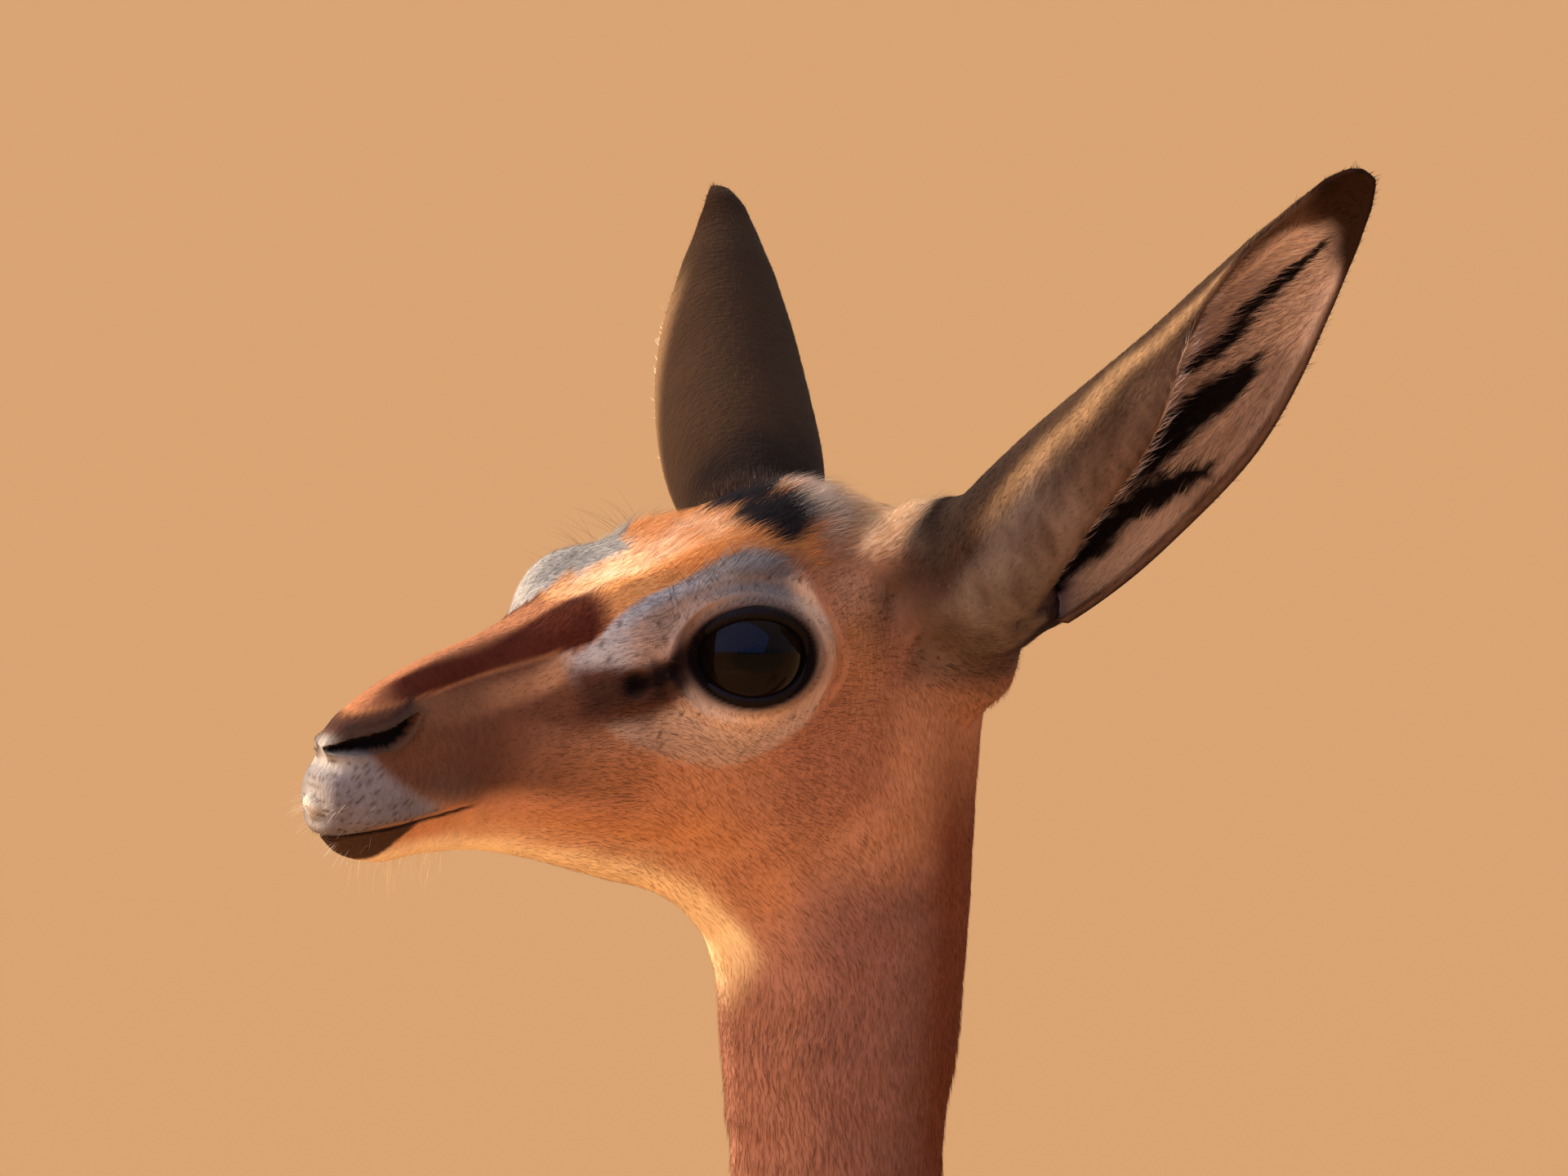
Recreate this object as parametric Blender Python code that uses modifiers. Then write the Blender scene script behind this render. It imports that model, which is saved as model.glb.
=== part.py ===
"""A standing female gerenuk, life size and still, in solids for a museum model.

Metres, +Z up. The animal faces -X with its left side towards -Y, and stands on z = 0.
The body is designed straight and symmetric, and posed() then turns the head to its left.
Head sizes are millimetres from the mid point between the eyes: forward, left and up.
"""

import math

import bmesh
import bpy
import numpy as np
from mathutils import Vector

MM = 0.001

# Driving sizes and places of the straight design, in metres
EYE_HEIGHT = 1.323
HEAD_X = -0.390
NECK_X = -0.345
HEAD_TURN = math.radians(25)
HEAD_LEAN = math.radians(5)
TURN_LOW, TURN_HIGH = 1.00, 1.19
LEAN_PIVOT_HEIGHT = 1.10
SEAM_GAP = 0.0003
CORONET_HEIGHT = 0.038

# Eyes, in millimetres
EYE_RADIUS = 18.4
EYE_CENTRE = (3.4, 28.0, 1.4)
EYE_FORWARD_TURN = math.radians(14)
LID_HALF_LENGTH, LID_HALF_HEIGHT = 16.0, 12.4
LID_THICKNESS = 2.4

# Sections of the body from muzzle to rump: top and bottom point on the middle plane,
# then half widths at the top, middle and bottom of the section, and for the head how
# round its upper corners are (1 is an oval, less is squarer).
# Head and upper neck: (forward, up) in millimetres from between the eyes.
HEAD_SECTIONS = (
    ((129.5, -40.0), (128.5, -49.0), (4, 6, 4, 0.9)),  # front of the upper lip
    ((128.5, -31.0), (126.0, -55.5), (9, 12.5, 10, 0.85)),
    ((125.0, -22.5), (120.0, -60.0), (11, 15.5, 12, 0.8)),  # nose tip and lips
    ((113.0, -11.5), (108.0, -62.5), (12, 17.5, 13.5, 0.75)),
    ((96.5, -2.5), (94.0, -60.5), (12, 18, 14, 0.75)),  # back of the nostrils
    ((78.0, 4.5), (77.0, -60.0), (13, 20, 15, 0.75)),  # corner of the mouth
    ((60.0, 11.5), (60.0, -63.0), (20.5, 27.5, 19, 0.68)),
    ((43.0, 18.5), (46.0, -67.0), (32, 34, 21, 0.58)),
    ((26.0, 26.5), (35.0, -70.5), (37, 36, 21, 0.5)),  # front of the brow
    ((8.0, 35.0), (25.0, -73.0), (39, 38.5, 23, 0.5)),
    ((-10.0, 42.5), (17.0, -76.0), (36, 38.5, 25, 0.55)),
    ((-29.0, 45.5), (10.0, -80.0), (34, 37, 27, 0.6)),  # crown
    ((-50.0, 40.5), (4.5, -85.0), (32, 35.5, 28, 0.65)),  # poll, ears to each side
    ((-68.0, 34.0), (0.5, -90.0), (27, 33, 28, 0.75)),
    ((-82.0, 20.0), (-2.0, -96.0), (26, 31, 27.5, 0.85)),
    ((-87.0, -8.0), (-4.0, -102.0), (26, 30.5, 27, 0.9)),  # nape and throat
    ((-86.2, -42.0), (-5.5, -111.0), (25, 29.5, 26, 0.92)),
    ((-85.3, -80.0), (-7.0, -124.0), (25, 28.5, 25, 0.92)),
    ((-83.5, -120.0), (-9.0, -142.0), (24, 28, 24, 0.92)),
    ((-80.0, -160.0), (-12.0, -163.0), (24, 28, 24, 0.92)),
)
NAPE, NECK_TOP = 15, 19
# Neck, trunk and rump: (x, z) in metres, half widths in metres.
BODY_SECTIONS = (
    ((-0.2990, 1.095), (-0.3730, 1.080), (0.026, 0.030, 0.027)),
    ((-0.2800, 1.025), (-0.3620, 0.990), (0.030, 0.035, 0.031)),
    ((-0.2480, 0.968), (-0.3520, 0.900), (0.037, 0.047, 0.043)),  # neck root
    ((-0.2100, 0.938), (-0.3480, 0.805), (0.042, 0.064, 0.060)),  # point of the chest
    ((-0.1600, 0.926), (-0.3150, 0.715), (0.047, 0.080, 0.073)),  # withers
    ((-0.1050, 0.918), (-0.2450, 0.662), (0.052, 0.091, 0.080)),  # brisket
    ((-0.0500, 0.913), (-0.1650, 0.636), (0.058, 0.098, 0.085)),
    ((0.0200, 0.912), (-0.0600, 0.628), (0.062, 0.102, 0.086)),  # ribs
    ((0.1000, 0.917), (0.0600, 0.640), (0.064, 0.101, 0.083)),
    ((0.1800, 0.924), (0.1650, 0.668), (0.064, 0.095, 0.076)),  # flank
    ((0.2500, 0.924), (0.2450, 0.700), (0.064, 0.089, 0.072)),  # croup
    ((0.3100, 0.908), (0.3000, 0.728), (0.060, 0.080, 0.066)),
    ((0.3500, 0.876), (0.3400, 0.750), (0.046, 0.060, 0.052)),
    ((0.3730, 0.838), (0.3640, 0.776), (0.025, 0.035, 0.028)),  # below the tail root
    ((0.3800, 0.812), (0.3790, 0.802), (0.004, 0.006, 0.004)),
)
NECK_ROOT = NECK_TOP + 3
RUMP = NECK_TOP + len(BODY_SECTIONS)

# Leg sections from top to coronet: x, z, half depth, half width, distance from the middle.
FORELEG = (
    (-0.212, 0.800, 0.058, 0.030, 0.056),  # shoulder
    (-0.224, 0.705, 0.057, 0.036, 0.064),
    (-0.205, 0.628, 0.047, 0.030, 0.066),  # elbow
    (-0.204, 0.560, 0.033, 0.0245, 0.063),
    (-0.207, 0.460, 0.0215, 0.0175, 0.058),
    (-0.208, 0.372, 0.0165, 0.0145, 0.055),
    (-0.211, 0.335, 0.0190, 0.0168, 0.054),  # knee
    (-0.207, 0.292, 0.0143, 0.0130, 0.053),
    (-0.205, 0.200, 0.0106, 0.0096, 0.053),  # cannon
    (-0.205, 0.128, 0.0113, 0.0104, 0.053),
    (-0.202, 0.096, 0.0148, 0.0136, 0.053),  # fetlock
    (-0.211, 0.062, 0.0108, 0.0116, 0.053),
    (-0.220, CORONET_HEIGHT, 0.0160, 0.0166, 0.053),
)
HINDLEG = (
    (0.290, 0.835, 0.072, 0.030, 0.050),  # hip
    (0.273, 0.760, 0.088, 0.043, 0.056),
    (0.255, 0.680, 0.080, 0.044, 0.066),
    (0.236, 0.606, 0.061, 0.037, 0.073),  # stifle
    (0.254, 0.530, 0.040, 0.027, 0.070),
    (0.290, 0.455, 0.0250, 0.0190, 0.064),
    (0.325, 0.390, 0.0190, 0.0146, 0.059),
    (0.343, 0.348, 0.0220, 0.0158, 0.057),  # hock
    (0.337, 0.300, 0.0160, 0.0134, 0.056),
    (0.330, 0.210, 0.0115, 0.0102, 0.056),  # cannon
    (0.326, 0.132, 0.0120, 0.0110, 0.056),
    (0.326, 0.099, 0.0153, 0.0138, 0.056),  # fetlock
    (0.314, 0.064, 0.0112, 0.0118, 0.056),
    (0.303, CORONET_HEIGHT, 0.0162, 0.0168, 0.056),
)
# How far each foot is set forward of the square stance, growing from elbow to ground
STEP = {
    "foreleg_left": 0.030,
    "foreleg_right": -0.026,
    "hindleg_left": -0.034,
    "hindleg_right": 0.040,
}
FORE_TOP, FORE_KNEE = 0.612, 0.352
HIND_HOCK = 0.392
GROIN = Vector((0.17, 0.0, 0.652))
GROIN_RISE = 0.48

# Swellings (+) and hollows (-) of the head: forward and up place, reach forward and up,
# then the push forward, outwards and up, in millimetres.
HEAD_FORMS = (
    ((43, 9), (18, 16), (2.5, 8.5, 4.0)),  # front of the brow
    ((8, 24), (20, 9), (0, 6.0, 2.5)),  # brow over the eye
    ((-22, 4), (9, 16), (0, 3.0, 0)),  # rim behind the eye
    ((4, -18), (18, 7), (0, 2.5, 0)),  # cheek bone under the eye
    ((44, -16), (14, 8), (0, -2.0, 0)),  # hollow before the eye
    ((0, -50), (24, 18), (0, 3.0, 0)),  # jaw muscle
    ((68, -24), (20, 12), (0, -1.6, 0)),  # side of the nose
    ((114, -20), (12, 8), (0, 2.2, 0)),  # nostril wing
    ((114, -47), (13, 7), (0, 1.8, 0)),  # upper lip
    ((130, -31), (5, 3), (-2.5, 0, 0)),  # notch under the nose
    ((-74, 24), (16, 16), (0, 7.0, 5.0)),  # muscle at the root of the ear
    ((-82, -3), (12, 14), (0, 9.0, 0)),  # behind the ear
)

# Mouth line and nostril: (forward, up) in millimetres
MOUTH_CORNER, MOUTH_FRONT, MOUTH_RADIUS = (77.0, -45.5), (121.0, -55.0), 1.3
NOSTRIL_BACK, NOSTRIL_FRONT, NOSTRIL_HEIGHT = (98.0, -17.0), (128.0, -27.5), 8.0

# Ears: share of the length, radius of the cup, half its wall and its turn, in degrees
EAR_LENGTH = 172.0
EAR_SECTIONS = (
    (0.00, 18.0, 174, 12),
    (0.10, 21.0, 168, 12),
    (0.20, 24.0, 152, 10),
    (0.33, 26.5, 128, 6),
    (0.48, 26.0, 112, 0),
    (0.64, 23.5, 92, -8),
    (0.78, 19.0, 76, -16),
    (0.88, 14.0, 68, -22),
    (0.95, 10.0, 62, -25),
    (0.985, 6.5, 58, -25),
    (1.00, 3.5, 55, -25),
)
EAR_THICKNESS = 0.0022
# Each ear: root in the head, then in the posed head's x, y and z the way that its length
# and its opening point, which way its sections turn, its width, its bow in metres, and
# the radius of its root bulb in millimetres.
EARS = {
    "ear_left": (
        (-71.0, 31.0, 20.5), (0.655, -0.28, 0.705), (0.52, -0.52, -0.68), -1, 1.03, 0.013, 22
    ),
    "ear_right": (
        (-31.5, -31.0, 17.0), (-0.10, 0.795, 0.60), (-0.333, 0.541, -0.768), 1, 0.87, 0.010, 18
    ),
}

TAIL = (
    (0.366, 0.860, 0.0140),
    (0.388, 0.842, 0.0120),
    (0.402, 0.805, 0.0098),
    (0.408, 0.750, 0.0082),
    (0.405, 0.690, 0.0072),
    (0.400, 0.630, 0.0064),
)
TUFT_LOCKS, TUFT_LENGTH, TUFT_TOP = 18, 0.075, 0.690

COLOURS = {
    "coat": (0.42, 0.19, 0.085),
    "coat_dark": (0.25, 0.105, 0.05),
    "shanks": (0.47, 0.25, 0.13),
    "eye": (0.008, 0.006, 0.005),
    "hoof": (0.02, 0.017, 0.015),
    "tail": (0.035, 0.022, 0.017),
}


def start_empty():
    """Removes what the scene holds and makes the collections."""
    for thing in list(bpy.data.objects):
        bpy.data.objects.remove(thing)
    for name in ("gerenuk", "cutters"):
        bpy.context.scene.collection.children.link(bpy.data.collections.new(name))


def coat(name, roughness=0.75, metallic=0.0):
    """The material of that name, made once."""
    made = bpy.data.materials.get(name)
    if made is None:
        made = bpy.data.materials.new(name)
        made.use_nodes = True
        shader = made.node_tree.nodes["Principled BSDF"]
        shader.inputs["Base Color"].default_value = (*COLOURS[name], 1)
        shader.inputs["Roughness"].default_value = roughness
        shader.inputs["Metallic"].default_value = metallic
    return made


def object_of(name, bm, material=None):
    """The bmesh as an object of the gerenuk, or as a cutter where it has no material."""
    bmesh.ops.recalc_face_normals(bm, faces=bm.faces)
    if bm.calc_volume(signed=True) < 0:
        bmesh.ops.reverse_faces(bm, faces=bm.faces)
    mesh = bpy.data.meshes.new(name)
    bm.to_mesh(mesh)
    bm.free()
    thing = bpy.data.objects.new(name, mesh)
    if material:
        mesh.materials.append(coat(material))
        mesh.shade_smooth()
        bpy.data.collections["gerenuk"].objects.link(thing)
    else:
        thing.hide_render = True
        thing.display_type = "WIRE"
        bpy.data.collections["cutters"].objects.link(thing)
    return thing


def applied(thing):
    """Replaces the object's mesh by the evaluated one, keeping its largest closed body."""
    graph = bpy.context.evaluated_depsgraph_get()
    made = bpy.data.meshes.new_from_object(thing.evaluated_get(graph))
    thing.modifiers.clear()
    bm = bmesh.new()
    bm.from_mesh(made)
    bodies, left = [], set(bm.verts)
    while left:
        body, edge = set(), [left.pop()]
        while edge:
            vertex = edge.pop()
            body.add(vertex)
            near = {e.other_vert(vertex) for e in vertex.link_edges} & left
            left -= near
            edge.extend(near)
        bodies.append(body)
    bodies.sort(key=len)
    scraps = [vertex for body in bodies[:-1] for vertex in body]
    bmesh.ops.delete(bm, geom=scraps, context="VERTS")
    bm.to_mesh(made)
    bm.free()
    made.shade_smooth()
    thing.data = made
    return thing


def boolean(thing, others, operation):
    """Joins the others to the thing or cuts them from it, and removes them."""
    group = bpy.data.collections.new("operands")
    for other in others:
        group.objects.link(other)
    step = thing.modifiers.new(operation.lower(), "BOOLEAN")
    step.operation = operation
    step.operand_type = "COLLECTION"
    step.collection = group
    step.solver = "EXACT"
    bpy.context.view_layer.update()
    applied(thing)
    for other in others:
        bpy.data.objects.remove(other)
    bpy.data.collections.remove(group)
    return thing


def along(table, t):
    """Smooth values of the table's rows at row numbers t, which may lie between rows."""
    rows = np.asarray(table, float)
    t = np.clip(np.asarray(t, float), 0, len(rows) - 1)
    i = np.minimum(t.astype(int), len(rows) - 2)
    f = (t - i)[:, None]
    before, after = np.maximum(i - 1, 0), np.minimum(i + 2, len(rows) - 1)
    a, b, c, d = rows[before], rows[i], rows[i + 1], rows[after]
    return b + 0.5 * f * (c - a + f * (2 * a - 5 * b + 4 * c - d + f * (3 * (b - c) + d - a)))


def smooth_step(share):
    share = np.clip(share, 0, 1)
    return share * share * (3 - 2 * share)


def body_table():
    """All sections in metres: top x and z, bottom x and z, three half widths, roundness."""
    rows = []
    for top, bottom, widths in HEAD_SECTIONS:
        rows.append(
            (HEAD_X - top[0] * MM, EYE_HEIGHT + top[1] * MM)
            + (HEAD_X - bottom[0] * MM, EYE_HEIGHT + bottom[1] * MM)
            + tuple(w * MM for w in widths[:3])
            + widths[3:]
        )
    rows.extend((*top, *bottom, *widths, 0.92) for top, bottom, widths in BODY_SECTIONS)
    return np.array(rows)


def head_sculpted(points):
    """The head's swellings and hollows, on points of the straight design."""
    head = np.column_stack(
        (HEAD_X - points[:, 0], -points[:, 1], points[:, 2] - EYE_HEIGHT)
    ) / MM
    side = np.sign(head[:, 1]) * smooth_step(np.abs(head[:, 1]) / 18)
    for (forward, up), (long, tall), push in HEAD_FORMS:
        share = np.exp(
            -(((head[:, 0] - forward) / long) ** 2) - ((head[:, 2] - up) / tall) ** 2
        )
        rise = np.abs(side) if push[1] else np.ones(len(head))
        head = head + share[:, None] * np.column_stack(
            (push[0] * np.ones(len(head)), push[1] * side, push[2] * rise)
        )
    head = seated_on_eyes(head)
    return np.column_stack(
        (HEAD_X - head[:, 0] * MM, -head[:, 1] * MM, EYE_HEIGHT + head[:, 2] * MM)
    )


def eye_axes():
    """The way the left eye looks, and its forward and up directions, as head vectors."""
    turn = EYE_FORWARD_TURN
    look = np.array((math.sin(turn), math.cos(turn), 0.03))
    look /= np.linalg.norm(look)
    ahead = np.array((math.cos(turn), -math.sin(turn), 0.0))
    return look, ahead, np.cross(ahead, look)


def seated_on_eyes(head):
    """Draws the skin round each eye onto the eyeball, and behind it within the lids."""
    look, ahead, up = eye_axes()
    side = np.where(head[:, 1] < 0, -1.0, 1.0)
    away = head * np.column_stack((np.ones(len(head)), side, np.ones(len(head))))
    away = away - np.array(EYE_CENTRE)
    out, a, b = away @ look, away @ ahead, away @ up
    reach = np.hypot(a / LID_HALF_LENGTH, b / LID_HALF_HEIGHT)
    inner = np.maximum(reach, 1.0)
    radius = EYE_RADIUS + 0.4 - 5 * smooth_step((0.95 - reach) / 0.3)
    ball = radius**2 - (a / inner) ** 2 - (b / inner) ** 2
    share = smooth_step((1.65 - reach) / 0.6) * (out > 0)
    move = (share * (np.sqrt(np.maximum(ball, 1.0)) - out))[:, None] * look
    move[:, 1] *= side
    return head + move


def body_points(t, angle):
    """Points of the straight body at section numbers t and angles from the top."""
    row = along(body_table(), t)
    share = (1 - np.cos(angle)) / 2
    top, bottom = row[:, 0:2], row[:, 2:4]
    middle = top + (bottom - top) * share[:, None]
    high, centre, low = row[:, 4], row[:, 5], row[:, 6]
    s = np.clip((share - 0.5) / 0.35, -1, 1)
    width = centre + s * (low - high) / 2 + s * s * ((low + high) / 2 - centre)
    sine = np.sin(angle)
    round_share = 0.92 + (row[:, 7] - 0.92) * smooth_step((0.7 - share) / 0.5)
    width = width * np.sign(sine) * np.abs(sine) ** round_share
    return head_sculpted(np.column_stack((middle[:, 0], width, middle[:, 1])))


def posed(points):
    """Leans the head over and turns it to its left, twisting the neck below it."""
    p = np.array(points, float)
    share = smooth_step((p[:, 2] - TURN_LOW) / (TURN_HIGH - TURN_LOW))
    lean, up = share * HEAD_LEAN, p[:, 2] - LEAN_PIVOT_HEIGHT
    y = p[:, 1] * np.cos(lean) - up * np.sin(lean)
    z = p[:, 1] * np.sin(lean) + up * np.cos(lean) + LEAN_PIVOT_HEIGHT
    turn, x = share * HEAD_TURN, p[:, 0] - NECK_X
    return np.column_stack(
        (NECK_X + x * np.cos(turn) - y * np.sin(turn), x * np.sin(turn) + y * np.cos(turn), z)
    )


def head_place(forward, left, up):
    """A posed point of the head from millimetres forward, left and up."""
    straight = (HEAD_X - forward * MM, -left * MM, EYE_HEIGHT + up * MM)
    return Vector(posed([straight])[0])


def head_way(forward, left, up):
    """A posed unit direction of the head."""
    return (head_place(forward, left, up) - head_place(0, 0, 0)).normalized()


def tube(segments, rings):
    """A closed cylinder of that many rings, and each vertex's share along and angle round."""
    bm = bmesh.new()
    bmesh.ops.create_cone(
        bm, cap_ends=True, segments=segments, radius1=1, radius2=1, depth=1
    )
    long_edges = [e for e in bm.edges if abs(e.verts[0].co.z - e.verts[1].co.z) > 0.5]
    bmesh.ops.subdivide_edges(bm, edges=long_edges, cuts=rings - 2, use_grid_fill=True)
    bm.verts.ensure_lookup_table()
    share = np.array([0.5 + v.co.z for v in bm.verts])
    angle = np.array([math.atan2(v.co.y, v.co.x) for v in bm.verts])
    return bm, share, angle


def place(bm, points):
    for vertex, point in zip(bm.verts, points, strict=True):
        vertex.co = point


def body_tube(name, first, last, segments, rings, material, ring_bias=1.0):
    """The body between two sections as one closed solid with flat ends."""
    bm, share, angle = tube(segments, rings)
    t = first + (last - first) * share**ring_bias
    place(bm, posed(body_points(t, angle)))
    return object_of(name, bm, material)


def eye_ball(name, side, radius, material=None):
    """A ball for one eye; side is 1 on the left and -1 on the right."""
    bm = bmesh.new()
    bmesh.ops.create_uvsphere(bm, u_segments=20, v_segments=12, radius=radius * MM)
    forward, left, up = EYE_CENTRE
    centre = head_place(forward, left * side, up)
    bmesh.ops.translate(bm, verts=bm.verts, vec=centre)
    return object_of(name, bm, material)


def ring_tube(name, path, thickness, closed):
    """A cutter or rib: a round tube of 8 sides along the points, as a closed mesh."""
    line = bpy.data.curves.new(name, "CURVE")
    line.dimensions = "3D"
    line.bevel_depth = thickness
    line.bevel_resolution = 2
    line.use_fill_caps = True
    spline = line.splines.new("POLY")
    spline.points.add(len(path) - 1)
    for point, co in zip(spline.points, path, strict=True):
        point.co = (*co, 1)
    spline.use_cyclic_u = closed
    guide = bpy.data.objects.new(name, line)
    bpy.data.collections["cutters"].objects.link(guide)
    bpy.context.view_layer.update()
    graph = bpy.context.evaluated_depsgraph_get()
    bm = bmesh.new()
    bm.from_mesh(bpy.data.meshes.new_from_object(guide.evaluated_get(graph)))
    bmesh.ops.remove_doubles(bm, verts=bm.verts, dist=1e-6)
    bpy.data.objects.remove(guide)
    return object_of(name, bm)


def eye_lid(side, gap=0.0):
    """The lids of one eye as a soft ring on the eyeball, thicker by the gap as a cutter."""
    look, ahead, up = (Vector(axis) for axis in eye_axes())
    path = []
    for k in range(26):
        angle = 2 * math.pi * k / 26
        a, b = LID_HALF_LENGTH * math.cos(angle), LID_HALF_HEIGHT * math.sin(angle)
        reach = EYE_RADIUS + 0.4
        out = math.sqrt(max(reach * reach - a * a - b * b, 1.0))
        at = Vector(EYE_CENTRE) + ahead * a + up * b + look * out
        path.append(head_place(at.x, at.y * side, at.z))
    return ring_tube("lid", path, LID_THICKNESS * MM + gap, closed=True)


def side_of_head(tree, forward, up, side):
    """The head's skin at that place of the profile, found from straight out to the side."""
    start = head_place(forward, 60 * side, up)
    hit = tree.ray_cast(start, -head_way(0, side, 0))[0]
    return hit if hit is not None else head_place(forward, 0, up)


def front_of_head(tree, left, up):
    """The head's skin at that place of the front, found from ahead."""
    start = head_place(170, left, up)
    hit = tree.ray_cast(start, -head_way(1, 0, 0))[0]
    return hit if hit is not None else head_place(120, left, up)


def tree_of(thing):
    from mathutils.bvhtree import BVHTree

    bm = bmesh.new()
    bm.from_mesh(thing.data)
    tree = BVHTree.FromBMesh(bm)
    bm.free()
    return tree


def mouth_groove(tree):
    """The line of the mouth, from one corner round the front to the other."""
    path = []
    for side in (1, -1):
        half = []
        for k in range(8):
            share = k / 7
            forward = MOUTH_CORNER[0] + (114 - MOUTH_CORNER[0]) * share
            rise = (forward - MOUTH_CORNER[0]) / (MOUTH_FRONT[0] - MOUTH_CORNER[0])
            up = MOUTH_CORNER[1] + (MOUTH_FRONT[1] - MOUTH_CORNER[1]) * rise
            half.append(side_of_head(tree, forward, up, side))
        path.append(half)
    front = [front_of_head(tree, left, MOUTH_FRONT[1]) for left in (9, 5, 0, -5, -9)]
    return ring_tube("mouth", path[0] + front + path[1][::-1], MOUTH_RADIUS * MM, closed=False)


def nostril(tree, side):
    """A comma-shaped hole: a long bead laid along the slit and sunk into the nose."""
    bm = bmesh.new()
    bmesh.ops.create_uvsphere(bm, u_segments=14, v_segments=10, radius=1)
    back, front = Vector(NOSTRIL_BACK), Vector(NOSTRIL_FRONT)
    length, middle = (front - back).length, (front + back) / 2
    centre = side_of_head(tree, middle.x, middle.y, side)
    length_way = (side_of_head(tree, front.x - 3, front.y, side) - centre).normalized()
    out = head_way(0.25, side, 0.1)
    tall = length_way.cross(out).normalized()
    out = tall.cross(length_way)
    for v in bm.verts:
        slim = 0.55 + 0.45 * v.co.x
        v.co = (
            centre
            + length_way * (v.co.x * length * 0.55 * MM)
            + tall * ((v.co.z * slim * 0.5 * NOSTRIL_HEIGHT + 1.2 * v.co.x**2) * MM)
            + out * (v.co.y * 6.0 * MM)
        )
    return object_of("nostril", bm)


def head_with_openings():
    """The head down to the nape: lids, eye sockets, nostrils and the line of the mouth."""
    head = head_form("head", "coat")
    tree = tree_of(head)
    cutters = [mouth_groove(tree)] + [nostril(tree, side) for side in (1, -1)]
    boolean(head, [eye_lid(1), eye_lid(-1)], "UNION")
    cutters += [eye_ball("socket", side, EYE_RADIUS + 0.35) for side in (1, -1)]
    return boolean(head, cutters, "DIFFERENCE")


def head_form(name, material=None):
    """The plain head, before lids and openings, with finer faces round the eyes."""
    bm, share, angle = tube(36, 44)
    place(bm, body_points(NAPE * share, angle))
    to_head = np.array((-1.0, -1.0, 1.0)) / MM
    origin = np.array((HEAD_X, 0.0, EYE_HEIGHT))
    head = (np.array([v.co for v in bm.verts]) - origin) * to_head
    head[:, 1] = np.abs(head[:, 1])
    close = np.linalg.norm(head - np.array(EYE_CENTRE), axis=1) < 33
    bm.verts.index_update()
    edges = [e for e in bm.edges if all(close[v.index] for v in e.verts)]
    bmesh.ops.subdivide_edges(bm, edges=edges, cuts=1, use_grid_fill=True)
    bmesh.ops.triangulate(bm, faces=[f for f in bm.faces if len(f.verts) > 4])
    head = seated_on_eyes((np.array([v.co for v in bm.verts]) - origin) * to_head)
    place(bm, posed(head / to_head + origin))
    return object_of(name, bm, material)


def inflated(thing, gap=SEAM_GAP):
    """A cutter that is the thing's own shape grown by the gap that touching pieces keep."""
    bm = bmesh.new()
    bm.from_mesh(thing.data)
    bm.normal_update()
    moves = [vertex.normal * gap * 1.15 for vertex in bm.verts]
    for vertex, move in zip(bm.verts, moves, strict=True):
        vertex.co += move
    return object_of("grown_" + thing.name, bm)


def ear(name, head):
    """A leaf-shaped cup on a rolled base, its root bulb seated on the head."""
    place_in_head, length_way, opening, hand, wide, bowed, heel = EARS[name]
    root, axis, face = head_place(*place_in_head), Vector(length_way), Vector(opening)
    axis.normalize()
    face = (face - axis * face.dot(axis)).normalized()
    across = axis.cross(face)
    bm = bmesh.new()
    bmesh.ops.create_grid(bm, x_segments=10, y_segments=13, size=0.5)
    table = np.array(EAR_SECTIONS)
    u = np.array([v.co.x * 2 for v in bm.verts])
    v = np.array([v.co.y + 0.5 for v in bm.verts])
    row = along(table, np.interp(v, table[:, 0], np.arange(len(table))))
    radius, wall = row[:, 1] * MM * wide, np.radians(row[:, 2]) * u
    turn = np.radians(row[:, 3]) * hand
    side, depth = radius * np.sin(wall + turn), -radius * np.cos(wall + turn)
    bow = bowed * np.sin(v * math.pi)
    along_ear = np.outer(v * EAR_LENGTH * MM, axis)
    outwards = np.outer(side, across) + np.outer(depth + bow, face)
    place(bm, np.array(root) + along_ear + outwards)
    cup = object_of(name, bm, "coat_dark")
    shell = cup.modifiers.new("thickness", "SOLIDIFY")
    shell.thickness = EAR_THICKNESS
    shell.offset = 0.0
    shell.use_even_offset = False
    applied(cup)
    bulb = bmesh.new()
    bmesh.ops.create_uvsphere(bulb, u_segments=14, v_segments=8, radius=1)
    for vertex in bulb.verts:
        c = vertex.co
        vertex.co = (
            root
            + axis * ((c.z * 20 - 1) * MM)
            + across * (c.x * heel * MM)
            + face * ((c.y * heel + heel - 17) * MM)
        )
    boolean(cup, [object_of("bulb", bulb)], "UNION")
    side = 1 if name.endswith("left") else -1
    boolean(cup, [inflated(head)], "DIFFERENCE")
    return boolean(cup, [eye_lid(side, 2 * SEAM_GAP)], "DIFFERENCE")


def leg_points(name, t, angle):
    """Points of one leg at section numbers t; the foot is stepped forward or back."""
    table = FORELEG if name.startswith("fore") else HINDLEG
    side = -1 if name.endswith("left") else 1
    row = along(table, t)
    x, z, deep, wide, away = row.T
    low = np.clip((FORE_TOP - z) / FORE_TOP, 0, 1)
    x = x - STEP[name] * low
    sine = np.sin(angle)
    return np.column_stack(
        (x - deep * np.cos(angle), side * (away + wide * sine), z)
    )


def leg_tube(name, first, last, segments, rings, material=None):
    bm, share, angle = tube(segments, rings)
    place(bm, leg_points(name, first + (last - first) * share, angle))
    return object_of(name + "_tube", bm, material)


def leg_table(name):
    return FORELEG if name.startswith("fore") else HINDLEG


def row_at_height(name, height):
    """The section number of the leg at that height."""
    heights = [row[1] for row in leg_table(name)][::-1]
    numbers = list(range(len(heights)))[::-1]
    return float(np.interp(height, heights, numbers))


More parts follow.
